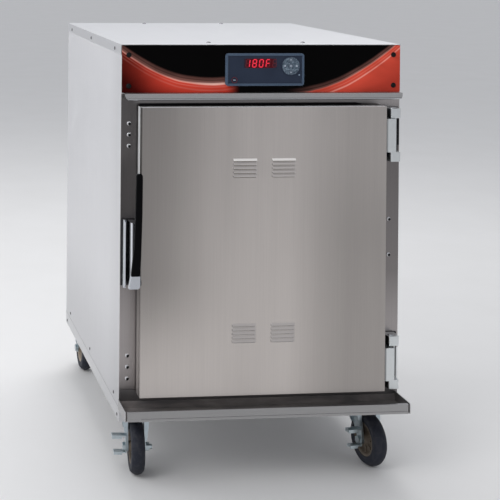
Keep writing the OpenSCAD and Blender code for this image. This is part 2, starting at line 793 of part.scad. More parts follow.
module latch_lever() color("gainsboro") from_front() {
  difference() {
    union() {
      // boss between the ears and the web to the arm
      prism_x(-326, -312.4) union() {
        translate(latch_at) circle(r = 6.2);
        polygon(concat([[latch_y - 1, latch_z - 6], [latch_y - 1, latch_z + 6]],
          lever_points([[-4, 500], [-2, 478]])));
      }
      // lower cap, full width
      prism_forward(lever_y(-4, 475), 13) polygon(cap_front);
      // tapered arm up to the top end
      intersection() {
        prism_x(-338, -313) polygon(lever_points(arm_side));
        prism_forward(-50, 60) polygon(arm_front);
      }
    }
    cyl_x(latch_pin_r + 0.06, -335, -303, latch_at);
  }
}
// grip cover in front of the arm
module handle_grip() color("black") from_front() {
  intersection() {
    prism_x(-339, -312) polygon(lever_points(grip_side));
    prism_forward(-50, 70) polygon(grip_front);
  }
}

// ---------- casters ----------
axle_z = wheel_d / 2;
axle_r = 6;
kingpin_r = 6;

module caster_plates() color("silver") from_front() {
  at_swivels() difference() {
    union() {
      translate([0, 0, deck_z - 3.1]) linear_extrude(3) round_rect([92, 74], 6);
      cyl_z(30, 149.9, deck_z - 3);
      // kingpin and its lower collar
      cyl_z(kingpin_r, 131, 151);
      cyl_z(10, 130, 135.5);
    }
    at_plate_bolts() cyl_z(plate_hole_r, deck_z - 5, deck_z + 1);
  }
}
module caster_bolts() color("lightsteelblue") from_front() {
  at_swivels() at_plate_bolts() union() {
    cyl_z(4, deck_z - 5, deck_z + 9.5);
    cyl_z(6.6, deck_z - 8, deck_z - 3.15, $fn = 6);
    cyl_z(6.6, deck_z + 3.05, deck_z + 8, $fn = 6);
  }
}

module at_caster(place) {
  translate([place[0], place[1], 0]) rotate([0, 0, place[3]]) children();
}
module at_axle(place) {
  at_caster(place) translate([0, place[2] * trail, axle_z]) children();
}

// Fork outlines: distance from the swivel axis towards the axle, and Z
leg_outline = [[-24, 146], [25, 146], [30, 132], [trail + 11.8, axle_z + 3],
  [trail + 4, axle_z - 11.4], [trail - 9.2, axle_z - 7.8], [-21, 128]];
// flange along the edge on the axle side, and along the other edge
near_flange = [[22, 145.9], [25, 145.9], [30, 132], [trail + 11.8, axle_z + 3],
  [trail + 8.8, axle_z + 3], [27, 131.6]];
far_flange = [[-24, 145.9], [-21, 128], [trail - 18.8, axle_z + 8],
  [trail - 15.6, axle_z + 8], [-17.6, 129], [-21, 145.9]];

// outline turned to the side of the axle
function to_side(side, points) = [for (point = points) [side * point[0], point[1]]];

// X and Z limits of the flanges of one leg, wide at the crown
module flange_limits(leg_side, leg_x, braked) {
  short = braked && leg_side < 0;
  low_x = short ? 28.2 : 25.5;
  low_z = short ? 97 : 79;
  prism_forward(60, 120) polygon(to_side(leg_side,
    [[leg_x + 1, 147], [33, 147], [33, 130], [low_x, low_z], [leg_x + 1, low_z]]));
}
// fork with its axle bolt; braked leaves room for the brake plate on the left leg
module fork(place, braked) {
  side = place[2];
  leg_x = wheel_w / 2 + 3.5;
  leg_t = 3;
  nut_x = leg_x + leg_t + 0.05;
  head_x = braked ? wheel_w / 2 + 10.5 : nut_x;
  axle_at = [side * trail, axle_z];
  at_caster(place) {
    difference() {
      union() {
        // crown
        cyl_z(34, 141, 149.4);
        cyl_z(26, 138, 141.5);
        mirror_x() prism_x(leg_x, leg_x + leg_t) union() {
          polygon(to_side(side, leg_outline));
          translate(axle_at) circle(r = 12);
        }
        // flanges turned out along both edges of the leg
        for (s = [-1, 1]) intersection() {
          prism_x(-40, 40) union() {
            polygon(to_side(side, near_flange));
            polygon(to_side(side, far_flange));
          }
          flange_limits(s, leg_x, braked);
        }
      }
      cyl_z(kingpin_r + 0.06, 130, 160);
      // room for the kingpin collar
      cyl_z(11, 129, 138.2);
      cyl_x(axle_r + 0.02, -60, 60, axle_at);
    }
    // axle bolt, a separate solid, with its head on the left and nut on the right
    union() {
      cyl_x(axle_r, -head_x - 5.9, wheel_w / 2 + 22.5, axle_at);
      cyl_x(10, -head_x - 6, -head_x, axle_at, $fn = 6);
      cyl_x(10.5, nut_x, wheel_w / 2 + 15.5, axle_at, $fn = 6);
    }
  }
}
module caster_fork_fl() color("lightsteelblue") from_front() fork(place_fl, true);
module caster_fork_fr() color("lightsteelblue") from_front() fork(place_fr, true);
module caster_fork_rl() color("lightsteelblue") from_front() fork(place_rl, false);
module caster_fork_rr() color("lightsteelblue") from_front() fork(place_rr, false);

// radius and place along the axle
hub_profile = [[6.06, -18.6], [12.5, -18.6], [14.5, -9], [17, -5.5], [31, -4], [35, -9],
  [36, -14.6], [39.9, -14.6], [39.9, 14.6], [36, 14.6], [35, 9], [31, 4], [17, 5.5],
  [14.5, 9], [12.5, 18.6], [6.06, 18.6]];

module hub(place) {
  at_axle(place) rotate([0, 90, 0]) rotate_extrude($fn = 64) polygon(hub_profile);
}
module tyre(place) {
  tread_r = 20; // crown radius across the tread
  at_axle(place) rotate([0, 90, 0]) rotate_extrude($fn = 64)
    intersection() {
      translate([wheel_d / 2 - tread_r, 0]) circle(r = tread_r);
      translate([40, -wheel_w / 2]) square([35, wheel_w]);
    }
}
module caster_hub_fl() color("burlywood") from_front() hub(place_fl);
module caster_hub_fr() color("burlywood") from_front() hub(place_fr);
module caster_hub_rl() color("burlywood") from_front() hub(place_rl);
module caster_hub_rr() color("burlywood") from_front() hub(place_rr);
module caster_tyre_fl() color("dimgray") from_front() tyre(place_fl);
module caster_tyre_fr() color("dimgray") from_front() tyre(place_fr);
module caster_tyre_rl() color("dimgray") from_front() tyre(place_rl);
module caster_tyre_rr() color("dimgray") from_front() tyre(place_rr);

// Y and Z of the brake plate from the axle
brake_outline = [[-9, 29], [9, 29], [10.5, 8], [10.5, -4], [8.5, -14], [-8.5, -14],
  [-10.5, -4], [-10.5, 8]];

// side brake: a plate that rocks on the axle bolt outside the left leg, with two foot pads
module brake(place) {
  plate_x = -wheel_w / 2 - 10.2;
  at_axle(place) difference() {
    union() {
      prism_x(plate_x, plate_x + 3) union() {
        circle(r = 11);
        polygon(brake_outline);
      }
      // upper pad, a channel open below
      block([plate_x - 33, -9, 25.5], [plate_x + 1.5, 9, 29]);
      for (y = [-9, 6.5]) block([plate_x - 33, y, 20.5], [plate_x - 8, y + 2.5, 27]);
      block([plate_x - 33, -9, 21.5], [plate_x - 30.5, 9, 27]);
      // lower pad
      block([plate_x - 28, -8.5, -14], [plate_x + 1.5, 8.5, -10.5]);
      for (y = [-8.5, 6]) block([plate_x - 28, y, -18], [plate_x - 8, y + 2.5, -12]);
    }
    cyl_x(axle_r + 0.06, plate_x - 8, plate_x + 6);
  }
}
module caster_brake_fl() color("silver") from_front() brake(place_fl);
module caster_brake_fr() color("silver") from_front() brake(place_fr);

base_frame();
drip_trough();
left_side_panel();
right_side_panel();
rear_panel();
top_cover();
front_frame();
front_sill();
cavity_liner();
pan_racks();
air_baffle();
blower_motor();
blower_wheel();
motor_shaft();
heater_element();
temperature_probe();
insulation_batts();
drip_gutter();
control_panel();
fascia_overlay();
controller_bezel();
display_window();
control_board();
key_up();
key_down();
key_enter();
power_key();
fascia_screws();
casing_screws();
jamb_plug_screws();
power_cord();
hinge_frame_leaves();
hinge_pins();
hinge_door_leaves();
hinge_bushes();
door_skin();
door_liner();
door_insulation();
door_gasket();
latch_body();
latch_pin();
latch_lever();
handle_grip();
latch_strike();
caster_plates();
caster_bolts();
caster_fork_fl();
caster_fork_fr();
caster_fork_rl();
caster_fork_rr();
caster_hub_fl();
caster_hub_fr();
caster_hub_rl();
caster_hub_rr();
caster_tyre_fl();
caster_tyre_fr();
caster_tyre_rl();
caster_tyre_rr();
caster_brake_fl();
caster_brake_fr();
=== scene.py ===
import json
import math

import bmesh
import bpy
from mathutils import Matrix, Vector


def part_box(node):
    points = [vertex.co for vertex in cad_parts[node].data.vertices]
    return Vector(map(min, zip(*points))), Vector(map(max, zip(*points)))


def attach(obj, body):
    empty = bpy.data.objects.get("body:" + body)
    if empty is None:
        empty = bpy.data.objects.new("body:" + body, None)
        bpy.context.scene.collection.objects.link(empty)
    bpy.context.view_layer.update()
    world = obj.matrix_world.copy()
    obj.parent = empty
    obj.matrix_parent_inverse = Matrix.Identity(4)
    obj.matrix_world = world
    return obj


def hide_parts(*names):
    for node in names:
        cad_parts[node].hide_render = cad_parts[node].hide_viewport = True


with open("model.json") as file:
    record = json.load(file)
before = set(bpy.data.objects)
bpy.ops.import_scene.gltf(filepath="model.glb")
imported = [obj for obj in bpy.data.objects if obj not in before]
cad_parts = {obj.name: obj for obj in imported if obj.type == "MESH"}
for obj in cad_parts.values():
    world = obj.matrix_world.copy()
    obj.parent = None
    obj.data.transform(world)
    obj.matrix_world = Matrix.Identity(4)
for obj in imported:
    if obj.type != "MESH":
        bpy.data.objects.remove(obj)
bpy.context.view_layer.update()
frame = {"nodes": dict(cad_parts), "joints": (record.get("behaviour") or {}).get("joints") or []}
NODES = frame["nodes"]
FY = -0.354  # the face frame's front plane; the CAD is laid out from it


# ---------------------------------------------------------------- node graphs
class Mat:
    """A node material written as short calls. Positions are the row frame's metres."""

    def __init__(s, name):
        s.m = bpy.data.materials.new(name)
        s.m.use_nodes = True
        s.t = s.m.node_tree
        s.t.nodes.clear()
        s.o = s.t.nodes.new("ShaderNodeOutputMaterial")
        s.b = s.t.nodes.new("ShaderNodeBsdfPrincipled")
        s.t.links.new(s.b.outputs["BSDF"], s.o.inputs["Surface"])
        s._p = None

    def put(s, socket, value):
        if isinstance(value, bpy.types.NodeSocket):
            s.t.links.new(value, socket)
        elif isinstance(value, (tuple, list)) and socket.type == "RGBA":
            socket.default_value = (*value[:3], 1.0)
        else:
            socket.default_value = value

    def set(s, **kw):
        for k, v in kw.items():
            s.put(s.b.inputs[k.replace("_", " ")], v)
        return s

    def node(s, kind, ins=(), **props):
        n = s.t.nodes.new(kind)
        for k, v in props.items():
            setattr(n, k, v)
        for k, v in dict(ins).items():
            s.put(n.inputs[k], v)
        return n

    def mt(s, op, a, b=0.0, c=0.0, clamp=False):
        n = s.node("ShaderNodeMath", {0: a, 1: b, 2: c}, operation=op)
        n.use_clamp = clamp
        return n.outputs[0]

    def add(s, a, b):
        return s.mt("ADD", a, b)

    def sub(s, a, b):
        return s.mt("SUBTRACT", a, b)

    def mul(s, a, b):
        return s.mt("MULTIPLY", a, b)

    def pos(s):
        if s._p is None:
            s._p = s.node("ShaderNodeTexCoord").outputs["Object"]
        return s._p

    def xyz(s):
        n = s.node("ShaderNodeSeparateXYZ", {0: s.pos()})
        return n.outputs[0], n.outputs[1], n.outputs[2]

    def nrm(s):
        """the object's own normal, so that a mask on it stays with a moving part"""
        n = s.node("ShaderNodeSeparateXYZ", {0: s.node("ShaderNodeTexCoord").outputs["Normal"]})
        return n.outputs[0], n.outputs[1], n.outputs[2]

    def band(s, v, a, b, soft=0.0004):
        """1 between a and b"""
        return s.mul(s.rng(v, a - soft, a), s.rng(v, b, b + soft, 1.0, 0.0))

    def mixf(s, f, a, b):
        return s.add(s.mul(s.sub(1.0, f), a), s.mul(f, b))

    def vec(s, x, y, z):
        return s.node("ShaderNodeCombineXYZ", {0: x, 1: y, 2: z}).outputs[0]

    def scaled(s, k, shift=(0, 0, 0)):
        return s.node("ShaderNodeMapping", {"Vector": s.pos(), "Scale": Vector(k), "Location": Vector(shift)}).outputs[0]

    def noise(s, k, detail=2.0, rough=0.5, dist=0.0, shift=(0, 0, 0)):
        k = (k, k, k) if isinstance(k, (int, float)) else k
        return s.node("ShaderNodeTexNoise", {"Vector": s.scaled(k, shift), "Scale": 1.0, "Detail": detail, "Roughness": rough, "Distortion": dist}).outputs["Fac"]

    def voronoi(s, k, feature="F1", rand=1.0):
        k = (k, k, k) if isinstance(k, (int, float)) else k
        return s.node("ShaderNodeTexVoronoi", {"Vector": s.scaled(k), "Scale": 1.0, "Randomness": rand}, feature=feature).outputs["Distance"]

    def rng(s, v, a, b, c=0.0, d=1.0, smooth=False):
        n = s.node("ShaderNodeMapRange", {"Value": v, "From Min": a, "From Max": b, "To Min": c, "To Max": d})
        n.clamp = True
        if smooth:
            n.interpolation_type = "SMOOTHSTEP"
        return n.outputs[0]

    def mixc(s, f, a, b, mode="MIX"):
        n = s.node("ShaderNodeMix", data_type="RGBA", blend_type=mode)
        s.put(n.inputs[0], f)
        s.put(n.inputs[6], a)
        s.put(n.inputs[7], b)
        return n.outputs[2]

    def tint(s, colour, value):
        """colour times a number socket"""
        return s.mixc(1.0, colour, s.vec(value, value, value), "MULTIPLY")

    def bump(s, height, strength, distance, normal=None):
        ins = {"Height": height, "Strength": strength, "Distance": distance}
        if normal is not None:
            ins["Normal"] = normal
        return s.node("ShaderNodeBump", ins).outputs[0]

    def edge(s, radius=0.0012, samples=4):
        """0 on flats, rising on outer and inner edges"""
        bev = s.node("ShaderNodeBevel", {"Radius": radius}, samples=samples).outputs[0]
        geo = s.node("ShaderNodeNewGeometry").outputs["Normal"]
        d = s.node("ShaderNodeVectorMath", {0: bev, 1: geo}, operation="DOT_PRODUCT").outputs["Value"]
        return s.rng(d, 0.995, 0.8)


MATS = {}


def brushed(name, base, grain, rough=0.3, aniso=0.55, contrast=1.0, shade=None, bright_edge=0.0, streak=1.0):
    """Brushed stainless sheet. grain: the axis the brush lines run along. bright_edge: strength of a painted highlight
    along the edges. shade(g, colour) may paint light and shade, and seam lines, into the colour by place.
    """
    g = Mat(name)

    def k(across, along):
        return tuple(along if "xyz"[i] == grain else across for i in range(3))
    n1 = g.noise(k(2600.0, 14.0), 2, 0.6)
    n2 = g.noise(k(820.0, 5.0), 3, 0.62, shift=(3.1, 1.7, 0.4))
    n3 = g.noise(k(46.0, 0.9), 3, 0.55, shift=(0.3, 7.7, 2.4))
    cloud = g.noise(3.2, 3, 0.55, 0.3, shift=(5, 1, 2))
    smudge = g.rng(g.noise(9.0, 4, 0.6, 0.8, shift=(1, 9, 4)), 0.52, 0.74)
    v = g.add(1.0, g.mul(g.sub(n1, 0.5), 0.12 * contrast))
    v = g.add(v, g.mul(g.sub(n2, 0.5), 0.20 * contrast))
    v = g.add(v, g.mul(g.sub(n3, 0.5), 0.10 * contrast * streak))
    v = g.add(v, g.mul(g.sub(cloud, 0.5), 0.08 * contrast))
    c = g.tint(base, v)
    # painted highlight along the edges
    if bright_edge:
        c = g.mixc(g.mul(g.edge(0.0014), bright_edge), c, (0.9, 0.9, 0.9))
    metal = 1.0
    if shade:
        c = shade(g, c)
        if isinstance(c, tuple):
            c, metal = c
    r = g.add(rough, g.mul(g.sub(n1, 0.5), 0.12))
    r = g.add(r, g.mul(g.sub(n2, 0.5), 0.10))
    r = g.add(r, g.mul(smudge, 0.035))
    h = g.add(g.mul(n1, 0.35), g.mul(n2, 0.65))
    g.set(Base_Color=c, Metallic=metal, Roughness=r, Anisotropic=aniso, Normal=g.bump(h, 0.14, 0.0001))
    tang = g.node("ShaderNodeTangent", direction_type="RADIAL", axis="Z" if grain != "y" else "Y")
    g.put(g.b.inputs["Tangent"], tang.outputs[0])
    if grain == "x":
        g.b.inputs["Anisotropic Rotation"].default_value = 0.25
    MATS[name] = g.m
    return g.m


def cast_metal(name, base, rough=0.28, grainy=0.5, wear=0.35, dull=(0.35, 0.36, 0.38), scale=1.0, metallic=1.0, spots=0.25, shade=None):
    """Plated, cast or turned metal: fine orange peel, handling marks, brighter rubbed edges."""
    g = Mat(name)
    fine = g.noise(1400.0 * scale, 2, 0.6)
    mid = g.noise(160.0 * scale, 4, 0.6, 0.4, shift=(2, 4, 1))
    wide = g.noise(26.0 * scale, 3, 0.5, shift=(8, 1, 3))
    v = g.add(g.add(1.0, g.mul(g.sub(mid, 0.5), 0.22 * grainy)), g.mul(g.sub(wide, 0.5), 0.28 * grainy))
    c = g.tint(base, v)
    c = g.mixc(g.mul(g.rng(mid, 0.6, 0.78), spots), c, dull)
    if wear:
        e = g.edge(0.0009)
        c = g.mixc(g.mul(e, wear), c, tuple(min(1.0, x * 1.25 + 0.06) for x in base))
    if shade:
        c = shade(g, c)
    r = g.add(g.add(rough, g.mul(g.sub(fine, 0.5), 0.14)), g.mul(g.sub(wide, 0.5), 0.16))
    g.set(Base_Color=c, Metallic=metallic, Roughness=r, Normal=g.bump(g.add(g.mul(fine, 0.4), mid), 0.12 * grainy, 0.0002))
    MATS[name] = g.m
    return g.m


def plastic(name, base, rough=0.42, texture=1.0, wear=0.3, worn=None, sheen=0.0, dust=0.0, spec=0.5):
    """Moulded plastic or rubber: spark-eroded texture, worn edges, a little dust."""
    g = Mat(name)
    fine = g.voronoi(1700.0)
    fine2 = g.noise(2600.0, 2, 0.6)
    wide = g.noise(22.0, 4, 0.6, 0.5, shift=(3, 8, 1))
    v = g.add(1.0, g.mul(g.sub(wide, 0.5), 0.5))
    c = g.tint(base, v)
    if worn is None:
        worn = tuple(min(1.0, x * 1.6 + 0.05) for x in base)
    if wear:
        c = g.mixc(g.mul(g.edge(0.001), wear), c, worn)
    if dust:
        c = g.mixc(g.mul(g.rng(g.noise(60.0, 5, 0.65, 0.6, shift=(4, 2, 9)), 0.45, 0.75), dust), c, (0.45, 0.42, 0.38))
    r = g.add(g.add(rough, g.mul(g.sub(wide, 0.5), 0.18)), g.mul(g.sub(fine2, 0.5), 0.1))
    g.set(Base_Color=c, Roughness=r, Specular_IOR_Level=spec, Normal=g.bump(g.add(g.mul(fine, 0.5), g.mul(fine2, 0.5)), 0.22 * texture, 0.00015))
    MATS[name] = g.m
    return g.m


def give(mat, *names):
    for n in names:
        o = NODES[n] if isinstance(n, str) else n
        o.data.materials.clear()
        o.data.materials.append(mat)


# ---------------------------------------------------------------- metal sheets
def door_shade(g, c):
    """painted reflections of the room: bright middle, darker sides, brighter foot; painted highlights on the folded
    edges
    """
    x, y, z = g.xyz()
    nx, ny, nz = g.nrm()
    low = g.rng(z, 0.24, 0.50, 1.0, 0.0, True)
    left = g.mixf(low, 0.50, 0.98)
    left = g.mixf(g.rng(x, -0.30, -0.03, 0.0, 1.0, True), left, 1.0)
    right_ = g.rng(z, 0.55, 0.85, 0.64, 0.80, True)
    right_ = g.mixf(g.rng(x, 0.02, 0.22, 0.0, 1.0, True), 1.0, right_)
    wave = g.rng(g.noise((5.0, 5.0, 0.7), 2, 0.5, 0.2, shift=(6, 3, 1)), 0.3, 0.7, 0.92, 1.07)
    c = g.tint(c, g.mul(g.mul(left, right_), wave))
    # painted shade on the front faces along the door's left edge, stronger higher up
    rim = g.mul(g.rng(g.mt("ABSOLUTE", ny), 0.7, 0.9), g.rng(x, -0.3052, -0.3046, 1.0, 0.0))
    c = g.mixc(g.mul(rim, g.rng(z, 0.60, 0.72, 0.25, 0.85)), c, (0.03, 0.028, 0.028))
    # painted highlights on the folded side edges and on the door's top face; metallic is lowered there at the end
    side = g.rng(g.mt("ABSOLUTE", nx), 0.7, 0.9)
    fold = g.mul(g.mul(side, g.band(y, FY - 0.0300, FY - 0.0075, 0.0006)), g.rng(z, 0.50, 0.74, 0.10, 0.86))
    top = g.mul(g.rng(nz, 0.7, 0.9), g.rng(y, FY - 0.0285, FY - 0.0300))
    lit_ = g.mt("MAXIMUM", fold, top)
    # painted shade on upturned faces; the top face's painted highlight goes over it at the end
    c = g.mixc(g.mul(g.rng(nz, 0.7, 0.9), 0.80), c, (0.03, 0.03, 0.03))
    # painted shade on the front part of the side returns
    front = g.mul(side, g.mul(g.rng(y, FY - 0.0304, FY - 0.0310), g.rng(z, 0.46, 0.70, 0.25, 0.75)))
    c = g.mixc(front, c, (0.035, 0.033, 0.033))
    # louvres: painted highlight on the top hood of the upper groups; painted shade on the left ends
    hood = g.rng(y, FY - 0.0451, FY - 0.0455)
    c = g.mixc(g.mul(hood, g.mul(g.rng(nx, -0.3, -0.7), 0.80)), c, (0.07, 0.065, 0.06))
    crest = g.mul(g.mul(hood, g.rng(nz, 0.10, 0.25)), g.band(z, 0.7655, 0.7740))
    c = g.mixc(g.mul(crest, 0.85), c, (0.93, 0.90, 0.86))
    lit_ = g.mt("MAXIMUM", lit_, g.mul(crest, 0.8))
    return g.mixc(g.mul(lit_, g.sub(1.0, crest)), c, (0.93, 0.94, 0.94)), g.sub(1.0, g.mul(lit_, 0.75))


def jamb_shade(g, c):
    x, y, z = g.xyz()
    # painted shade: dark up to the shoulder of the door, lighter below the latch; painted light on the right side and
    # near the top right
    v = g.rng(z, 0.34, 0.62, 1.0, 0.36, True)
    v = g.mul(v, g.rng(z, 0.215, 0.30, 0.72, 1.0, True))
    right_ = g.rng(x, 0.25, 0.29)
    v = g.mt("MAXIMUM", v, g.mul(right_, g.rng(z, 0.30, 0.80, 0.72, 0.55)))
    v = g.mt("MAXIMUM", v, g.mul(right_, g.rng(z, 0.84, 0.90, 0.0, 1.15)))
    c = g.tint(c, v)
    # the strip above the door reflects the gutter, with the door's own shadow under it
    lift = g.mul(g.rng(z, 0.895, 0.899), g.band(x, -0.300, 0.290, 0.02))
    c = g.mixc(g.mul(lift, 0.6), c, (0.30, 0.285, 0.28))
    slope = g.sub(0.8985, g.rng(x, 0.235, 0.290, 0.0, 0.0120))
    over = g.mul(g.rng(g.sub(z, slope), 0.0, 0.0014, 1.0, 0.0), g.rng(z, 0.880, 0.884))
    over = g.mul(over, g.band(x, -0.300, 0.288, 0.010))
    c = g.mixc(g.mul(over, g.rng(x, -0.30, -0.18, 0.90, 0.96)), c, (0.008, 0.007, 0.008))
    # painted shadow: a black slit behind the upper hinge's knuckles and a dark strip beside its middle knuckle
    slit = g.mul(g.band(x, 0.2935, 0.3012, 0.0012), g.rng(z, 0.8860, 0.8880, 1.0, 0.0))
    beside = g.mul(g.rng(x, 0.3325, 0.3335), g.band(z, 0.7950, 0.8720, 0.002))
    # painted light: the jamb strip right of the lower hinge takes the hinge leaf's bright colour, so no dark gap shows
    # beside its knuckles
    c = g.mixc(g.mul(g.mul(g.rng(x, 0.3325, 0.3335), g.band(z, 0.2215, 0.2990, 0.001)), 0.9), c, (0.74, 0.76, 0.77))
    return g.mixc(g.mt("MAXIMUM", slit, g.mul(beside, 0.9)), c, (0.010, 0.010, 0.012))


def trough_shade(g, c):
    x, y, z = g.xyz()
    # painted shade inside the trough, where the door above shades it: a mottled grey, black on the right end plate's
    # inner face; metallic is lowered there
    inner = g.mul(g.rng(y, FY - 0.0801, FY - 0.0797), g.rng(z, 0.1890, 0.1896, 1.0, 0.0))
    inner = g.mul(inner, g.mul(g.rng(x, -0.3466, -0.3463), g.rng(x, 0.3398, 0.3401, 1.0, 0.0)))
    inside_shade_mottle = g.noise((9.0, 30.0, 30.0), 4, 0.6, 0.5, shift=(3, 1, 2))
    inside_shade_colour = g.mixc(g.rng(inside_shade_mottle, 0.35, 0.65), (0.150, 0.138, 0.138), (0.300, 0.270, 0.255))
    c = g.mixc(g.mul(inner, 0.95), c, inside_shade_colour)
    nx, ny, nz = g.nrm()
    c = g.mixc(g.mul(inner, g.mul(g.rng(nx, -0.6, -0.9), 0.9)), c, (0.020, 0.019, 0.022))
    # the lower flange meets the front wall in a fine line, mitred at the left end
    front = g.rng(y, FY - 0.0810, FY - 0.0815)
    line = g.mul(g.band(z, 0.1737, 0.1745, 0.0004), g.rng(x, -0.3100, -0.3095))
    mitre = g.mul(g.band(g.sub(z, g.mul(x, 1.0)), 0.4830, 0.4845, 0.0006), g.band(x, -0.3150, -0.3096, 0.0004))
    line = g.mul(front, g.mt("MAXIMUM", line, mitre))
    return g.mixc(g.mul(line, 0.8), c, (0.03, 0.03, 0.03)), g.sub(1.0, g.mul(inner, 0.8))


def side_shade(g, c):
    """painted shade: a little darker near the foot and the front corner; a dark seam line along the panel's lower edge
    """
    x, y, z = g.xyz()
    v = g.mul(g.rng(z, 0.46, 0.20, 1.0, 0.86, True), g.rng(y, FY + 0.16, FY + 0.01, 1.0, 0.92, True))
    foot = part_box("left_side_panel")[0].z
    return g.mixc(g.mul(g.rng(z, foot + 0.0012, foot + 0.0020, 1.0, 0.0), 0.6), g.tint(c, v), (0.10, 0.10, 0.105))


def trim_shade(g, c):
    """painted highlight on the gutter's lower lip, under a fine painted shade line at the crease"""
    x, y, z = g.xyz()
    front = g.rng(y, FY - 0.0130, FY - 0.0140)
    c = g.mixc(g.mul(g.mul(front, g.rng(z, 0.9112, 0.9105)), 0.5), c, (0.72, 0.73, 0.76))
    return g.mixc(g.mul(g.mul(front, g.band(z, 0.9114, 0.9122, 0.0003)), 0.6), c, (0.05, 0.05, 0.055))


def top_shade(g, c):
    x, y, z = g.xyz()
    nx, ny, nz = g.nrm()
    # painted highlight along the front edge of the top face; painted shade on the side flanges and, darker, on the
    # front lip
    c = g.mixc(g.mul(g.rng(y, FY + 0.0030, FY + 0.0018), g.rng(nz, 0.6, 0.8)), c, (0.99, 0.99, 0.99))
    c = g.tint(c, g.rng(g.mt("ABSOLUTE", nx), 0.6, 0.9, 1.0, 0.86))
    return g.mixc(g.rng(ny, -0.6, -0.8), c, (0.10, 0.10, 0.10))


# painted light and shade: these sheets are one stainless steel, and their base colours differ part by part for how the
# light falls: lightest on the top cover, warmer on the door, darker on the gutter, trough and jamb, darkest on the
# sill in the door's shadow
brushed("side_sheet", (0.66, 0.66, 0.675), "z", rough=0.38, contrast=0.55, shade=side_shade, bright_edge=0.3, streak=0.6)
brushed("top_sheet", (0.90, 0.90, 0.91), "y", rough=0.38, contrast=0.35, shade=top_shade, bright_edge=0.2)
brushed("rear_sheet", (0.64, 0.64, 0.65), "z", rough=0.36, contrast=0.7, bright_edge=0.25)
brushed("base_sheet", (0.58, 0.58, 0.59), "y", rough=0.35, contrast=0.8, bright_edge=0.3)
brushed("trim_sheet", (0.44, 0.435, 0.435), "x", rough=0.28, contrast=0.9, shade=trim_shade, bright_edge=0.5)
brushed("trough_sheet", (0.37, 0.365, 0.365), "x", rough=0.30, contrast=0.9, shade=trough_shade, bright_edge=0.5)
brushed("sill_sheet", (0.20, 0.19, 0.19), "x", rough=0.34, contrast=1.0)
brushed("jamb_sheet", (0.37, 0.343, 0.338), "z", rough=0.3, contrast=0.9, shade=jamb_shade, bright_edge=0.4)
brushed("door_sheet", (0.62, 0.575, 0.545), "z", rough=0.32, contrast=0.75, shade=door_shade, bright_edge=0.5)
brushed("liner_sheet", (0.62, 0.62, 0.63), "y", rough=0.3, contrast=0.8, bright_edge=0.2)
brushed("doorliner_sheet", (0.60, 0.60, 0.61), "z", rough=0.3, contrast=0.8, bright_edge=0.2)
give(MATS["side_sheet"], "left_side_panel", "right_side_panel")
give(MATS["top_sheet"], "top_cover")
give(MATS["rear_sheet"], "rear_panel")
give(MATS["base_sheet"], "base_frame")
give(MATS["trim_sheet"], "drip_gutter", "control_panel")
give(MATS["trough_sheet"], "drip_trough")
give(MATS["sill_sheet"], "front_sill")
give(MATS["jamb_sheet"], "front_frame")
give(MATS["door_sheet"], "door_skin")
give(MATS["liner_sheet"], "cavity_liner", "air_baffle", "pan_racks")
give(MATS["doorliner_sheet"], "door_liner")

# ---------------------------------------------------------------- other metals
def leaf_shade(g, c):
    """painted shade: the base plate behind the knuckles is dark with shadow, and so are the knuckles' faces towards
    the door and a fine crease on the leaf's front
    """
    x, y, z = g.xyz()
    nx, ny, nz = g.nrm()
    side = g.mul(g.rng(nx, -0.75, -0.95), g.mul(g.rng(y, FY - 0.0375, FY - 0.0365), g.rng(x, 0.3085, 0.3080)))
    c = g.mixc(g.mul(side, 0.9), c, (0.035, 0.036, 0.042))
    crease = g.mul(g.band(x, 0.2946, 0.2966, 0.0004), g.rng(ny, -0.5, -0.8))
    c = g.mixc(g.mul(crease, 0.75), c, (0.04, 0.04, 0.045))
    return g.mixc(g.rng(y, FY - 0.0060, FY - 0.0040), c, (0.008, 0.008, 0.011))


def strike_shade(g, c):
    x, y, z = g.xyz()
    # painted shade on the strike's rear part next to the jamb, between its bright ridges
    return g.mixc(g.mul(g.rng(y, FY - 0.0060, FY - 0.0035), 0.94), c, (0.024, 0.021, 0.021))


def housing_shade(g, c):
    """painted reflections: bright at the folded left corner, dark where the front looks into the back of the lever;
    painted shade on the left side face
    """
    x, y, z = g.xyz()
    nx, ny, nz = g.nrm()
    face = g.mul(g.rng(x, -0.3270, -0.3256), g.rng(y, FY - 0.0420, FY - 0.0440))
    side = g.rng(nx, -0.93, -0.98)
    c = g.mixc(g.mul(face, 0.90), c, (0.040, 0.038, 0.042))
    return g.mixc(g.mul(side, 0.86), c, (0.055, 0.052, 0.056))


def screw_shade(g, c):
    """the casing screws on the sides and the screws on the lid are darker, the others bright"""
    x, y, z = g.xyz()
    nx, ny, nz = g.nrm()
    lid = g.rng(z, 1.0396, 1.0402)
    c = g.mixc(g.mul(lid, 0.75), c, (0.13, 0.13, 0.14))
    side = g.rng(g.mt("ABSOLUTE", x), 0.3440, 0.3450)
    c = g.mixc(g.mul(side, 0.95), c, (0.030, 0.030, 0.034))
    # painted dark reflection: a round dark spot right below the middle of every jamb screw leaves a bright crescent
    near = 1.0
    for sx, heights in ((-0.3270, (0.851, 0.824, 0.797, 0.295, 0.268, 0.240)), (0.321, (0.613, 0.526))):
        for sz in heights:
            dx, dz = g.sub(x, sx + 0.0012), g.sub(z, sz - 0.0009)
            near = g.mt("MINIMUM", near, g.mt("SQRT", g.add(g.mul(dx, dx), g.mul(dz, dz))))
    jamb = g.mul(g.rng(y, FY + 0.0100, FY), g.rng(near, 0.0040, 0.0034))
    return g.mixc(g.mul(jamb, 0.97), c, (0.006, 0.006, 0.007))


cast_metal("cast_zinc", (0.72, 0.745, 0.75), 0.34, 0.45, 0.35, spots=0.12, shade=leaf_shade)
